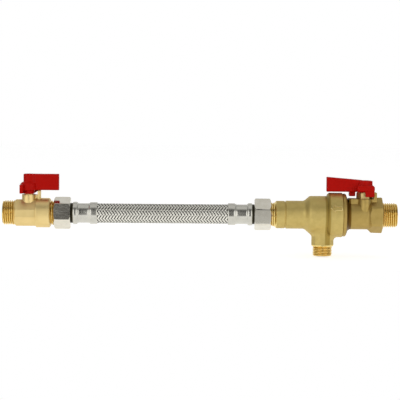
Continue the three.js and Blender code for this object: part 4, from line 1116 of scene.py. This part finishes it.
# Gland nut. A small hexagon, turned from brass bar. It is screwed into the oval boss round the stem and
# presses the stem's packing down.
gland_low, gland_high = place("gland_nut")
gland_across_flats = 12.0
gland_corner_radius = 6.93
gland_shank_radius = 5.5
gland_chamfer = 0.8
gland_face_radius = 6.1


def gland_outside(along, radius, angle):
    """A 12 mm hexagon above the boss, round below it."""
    hexagon = flats(angle, 6, gland_across_flats / 2, np.pi / 6)
    return np.where(along > oval_top, np.minimum(radius, hexagon), radius)


gland = turned("gland_nut_hexagon", dense(rounded([
    (gland_low[2], stem_bore),
    (gland_low[2], gland_shank_radius, 0.2),
    (oval_top, gland_shank_radius),
    (oval_top + 0.05, gland_corner_radius),
    (gland_high[2] - gland_chamfer, gland_corner_radius, 0.2),
    (gland_high[2], gland_face_radius, 0.1),
    (gland_high[2], stem_bore, 0.2),
]), 0.3), columns=120, limit=gland_outside, axis="z", centre=(right_stem[0], 0, 0))
shaded(gland, pale_brass, crease=24)
fitted(gland, "body", "turned_brass", "gland_nut")

# Springs. Closely drawn stainless wire, wound cold with the ends laid nearly flat.
coil_end = 0.12
coil_end_rise = 0.05
coil_steps_per_turn = 40
coil_wire_sides = 10
# Drawn spring wire: bright grey and faintly scored
spring_wire = finish("spring_wire", "#A9AAAA", "#B9BABA", (0.2, 0.3), (0.3, 0.3, 0.3), depth=0.001)


def coil(name, low, high, radius, wire, turns):
    """Helix about X as a tube: the place along the axis follows the turn with its first and last turn
    flattened, and the section is a ring in the plane of the radius and the axis."""
    turn_part = np.linspace(0, 1, int(turns * coil_steps_per_turn))
    flat = np.interp(turn_part, [0, coil_end, 1 - coil_end, 1], [0, coil_end_rise, 1 - coil_end_rise, 1])
    along = low + wire / 2 + (high - low - wire) * flat
    angle = 2 * np.pi * turns * turn_part
    round_wire = np.linspace(0, 2 * np.pi, coil_wire_sides, endpoint=False)
    reach = radius + wire / 2 * np.cos(round_wire)[None, :]
    x = along[:, None] + wire / 2 * np.sin(round_wire)[None, :]
    grid = np.stack([x, reach * np.cos(angle)[:, None], reach * np.sin(angle)[:, None]], axis=-1)
    return skin(name, [tipped(grid)])


for node, name, body, joint, wire, turns, travel in (
    ("piston_spring", "vent_piston_spring", "body", "vent_piston_slide", 1.5, 5, 4.0),
    ("inlet_check_spring", "inlet_check_valve_spring", "vent_piston_set", "inlet_check_slide", 0.7, 6, 3.0),
    ("outlet_check_spring", "outlet_check_valve_spring", "body", "outlet_check_slide", 0.7, 6, 3.0),
):
    low, high = place(node)
    radius = high[2] - wire / 2
    winding = coil(name, low[0], high[0], radius, wire, turns)
    shaded(winding, spring_wire, crease=80)
    fitted(winding, body, "spring_steel", node)
    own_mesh(winding)

# O-rings. Moulded nitrile, round in section. Each is stretched into its groove: one on each stem, one in the
# joint of the two bodies, one on the vent piston and one round the outlet cartridge.
oring_sides = 14
# Nitrile: black with a slight sheen
nitrile = finish("nitrile_rubber", "#141413", "#1C1B1A", (0.45, 0.6), (0.2, 0.2, 0.2), metallic=0.0)
for node, body, wire in (
    ("left_stem_oring", "heating_valve_turn", 0.9),
    ("right_stem_oring", "mains_valve_turn", 0.9),
    ("body_oring", "body", 1.0),
    ("piston_seal", "vent_piston_set", 1.1),
    ("outlet_check_oring", "body", 0.8),
):
    low, high = place(node)
    upright = "stem" in node
    centre = (low + high) / 2
    ring_radius = (high[1] - low[1]) / 2 - wire / 2
    section = np.linspace(0, 2 * np.pi, oring_sides, endpoint=False)
    seat_place = centre[2] if upright else centre[0]
    outline = np.stack([
        seat_place + wire / 2 * np.cos(section), ring_radius + wire / 2 * np.sin(section)
    ], axis=-1)
    middle_point = (centre[0], 0, 0) if upright else (0, 0, 0)
    seal = turned(f"{node}_ring", outline, columns=72, axis="z" if upright else "x", centre=middle_point)
    shaded(seal, nitrile, crease=80)
    fitted(seal, body, "rubber", node)

# Small inner pieces that keep their CAD solids: balls, seats, washers, stems, guides and poppets, each with
# the finish of its own material.
# Ball: brass, ground and hard chromed to a mirror
chrome = finish("hard_chrome", "#D0D2D4", "#D8DADB", (0.04, 0.08), (0.5, 0.5, 0.5), depth=0.0005)
# Skived PTFE: waxy white
ptfe = finish("ptfe", "#ECEAE2", "#F4F2EC", (0.4, 0.5), (0.5, 0.5, 0.5), metallic=0.0, ior=1.38)
# Acetal: ivory, smooth from the mould
acetal = finish("acetal", "#DEDACB", "#E9E6DA", (0.32, 0.42), (0.6, 0.6, 0.6), metallic=0.0, ior=1.48)
# Pressed aramid fibre: dull green with a felted grain
fibre = finish(
    "aramid_fibre", "#31503E", "#44644F", (0.75, 0.9), (0.25, 0.25, 0.25), depth=0.03, metallic=0.0
)
carried_over = {
    chrome: ["left_ball", "right_ball"],
    ptfe: [
        "left_seat_outer", "left_seat_inner", "left_stem_washer",
        "right_seat_outer", "right_seat_inner", "right_stem_washer",
    ],
    pale_brass: ["left_stem", "right_stem", "seat_retainer"],
    acetal: [
        "vent_piston", "inlet_check_guide", "inlet_check_poppet",
        "outlet_check_housing", "outlet_check_poppet",
    ],
    ferrule_steel: ["inlet_strainer"],
    spring_wire: ["check_retaining_ring"],
    nitrile: ["vent_seat"],
    fibre: ["hose_washer_left", "hose_washer_right"],
}
for material, nodes in carried_over.items():
    for node in nodes:
        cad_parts[node].data.materials.clear()
        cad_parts[node].data.materials.append(material)

# Paper. A sheet of plain white paper, laid flat under the fitting. It ends a hand's breadth in front of the
# pipe and runs far back behind it.
paper_front = -0.1
paper_back = 2.6
paper_half_width = 1.6
paper_drop = 0.0008
paper_side_points = 9
paper_glow = 0.7
across, along = np.meshgrid(
    np.linspace(middle[0] - paper_half_width, middle[0] + paper_half_width, paper_side_points),
    np.linspace(paper_front, paper_back, paper_side_points),
    indexing="ij",
)
points = np.stack([across, along, 0 * across + cad_box[0][2] - paper_drop], axis=-1).reshape(-1, 3)
index = np.arange(paper_side_points**2).reshape(across.shape)
cells = np.stack([index[:-1, :-1], index[1:, :-1], index[1:, 1:], index[:-1, 1:]], axis=-1).reshape(-1, 4)
sheet_mesh = bpy.data.meshes.new("white_paper")
sheet_mesh.from_pydata(points.tolist(), [], cells.tolist())
floor = bpy.data.objects.new("white_paper", sheet_mesh)
bpy.context.scene.collection.objects.link(floor)

# Paper: matt white with a faint cloudiness. It glows to what the camera, a reflection or a clear piece sees,
# so that it shows white without lighting the fitting from below
paper = bpy.data.materials.new("matt_paper")
tree = emptied(paper)
cloud = grain(tree, (9, 9, 9), 3.0, 0.6, 0.63)[1]
sheet = add(tree, "BsdfDiffuse", {"Color": add(tree, "CombineColor", {0: cloud, 1: cloud, 2: cloud})})
rays = add(tree, "LightPath").outputs
shown = rays["Is Camera Ray"]
for ray in ("Is Glossy Ray", "Is Transmission Ray"):
    shown = add(tree, "Math", {0: shown, 1: rays[ray]}, operation="MAXIMUM")
strength = add(tree, "MapRange", {"Value": shown, "To Min": 0.0, "To Max": paper_glow})
both = add(tree, "AddShader", {0: sheet, 1: add(tree, "Emission", {"Strength": strength})})
add(tree, "OutputMaterial", {"Surface": both})
floor.data.materials.append(paper)

# Studio. The paper lies before a white wall, with a softbox over the fitting and one at each of its front
# corners. The dark gap between those two shows as a dark stripe in bright metal. Each soft edge begins at its
# first number and is full at its second.
room_level = 0.29
wall_level = 0.8
wall_edge = (1.15, 0.7)
corner_light_level = 1.4
corner_light_direction = (0.56, -0.82, 0.1)
corner_light_edge = (0.66, 0.46)
gap_level = 0.07
gap_side = (0.19, 0.09)
gap_back = (0.0, -0.1)
gap_top = (0.98, 0.6)
below_edge = (-0.2, -0.34)
background_level = 1.0
softbox_size = (1.6, 0.95)
softbox_place = (middle[0], -0.04, 1.0)
softbox_power = 1.9

world = bpy.data.worlds.new("studio")
bpy.context.scene.world = world
tree = emptied(world)
direction = add(tree, "TexCoord").outputs["Generated"]
x, y, z = add(tree, "SeparateXYZ", {0: direction}).outputs
sideways = add(tree, "Math", {0: x}, operation="ABSOLUTE")
either_side = add(tree, "CombineXYZ", {0: sideways, 1: y, 2: z})
# Distance of the direction's tip from the middle of a corner light, and from the middle of the wall
from_light = add(tree, "VectorMath", {0: either_side, 1: corner_light_direction}, operation="DISTANCE")
from_wall = add(tree, "VectorMath", {0: direction, 1: (0.0, 1.0, 0.0)}, operation="DISTANCE")
corner_lights, wall, below, between_sides, in_front, under_top = (
    add(tree, "MapRange", {0: value, 1: start, 2: end}, interpolation_type="SMOOTHSTEP")
    for value, (start, end) in (
        (from_light.outputs["Value"], corner_light_edge),
        (from_wall.outputs["Value"], wall_edge),
        (z, below_edge),
        (sideways, gap_side),
        (y, gap_back),
        (z, gap_top),
    )
)
gap = add(tree, "Math", {0: between_sides, 1: in_front}, operation="MULTIPLY")
gap = add(tree, "Math", {0: gap, 1: under_top}, operation="MULTIPLY")
level = room_level
for mask, seen in (
    (corner_lights, corner_light_level),
    (wall, wall_level),
    (gap, gap_level),
    (below, wall_level),
    (add(tree, "LightPath").outputs["Is Camera Ray"], background_level),
):
    level = add(tree, "MapRange", {"Value": mask, "To Min": level, "To Max": seen})
light = add(tree, "Background", {"Color": colour("#FFFFFF"), "Strength": level})
add(tree, "OutputWorld", {"Surface": light})

softbox_data = bpy.data.lights.new("overhead_softbox", "AREA")
softbox_data.shape = "RECTANGLE"
softbox_data.size, softbox_data.size_y = softbox_size
softbox_data.energy = softbox_power
softbox = bpy.data.objects.new("overhead_softbox", softbox_data)
softbox.location = softbox_place
bpy.context.scene.collection.objects.link(softbox)
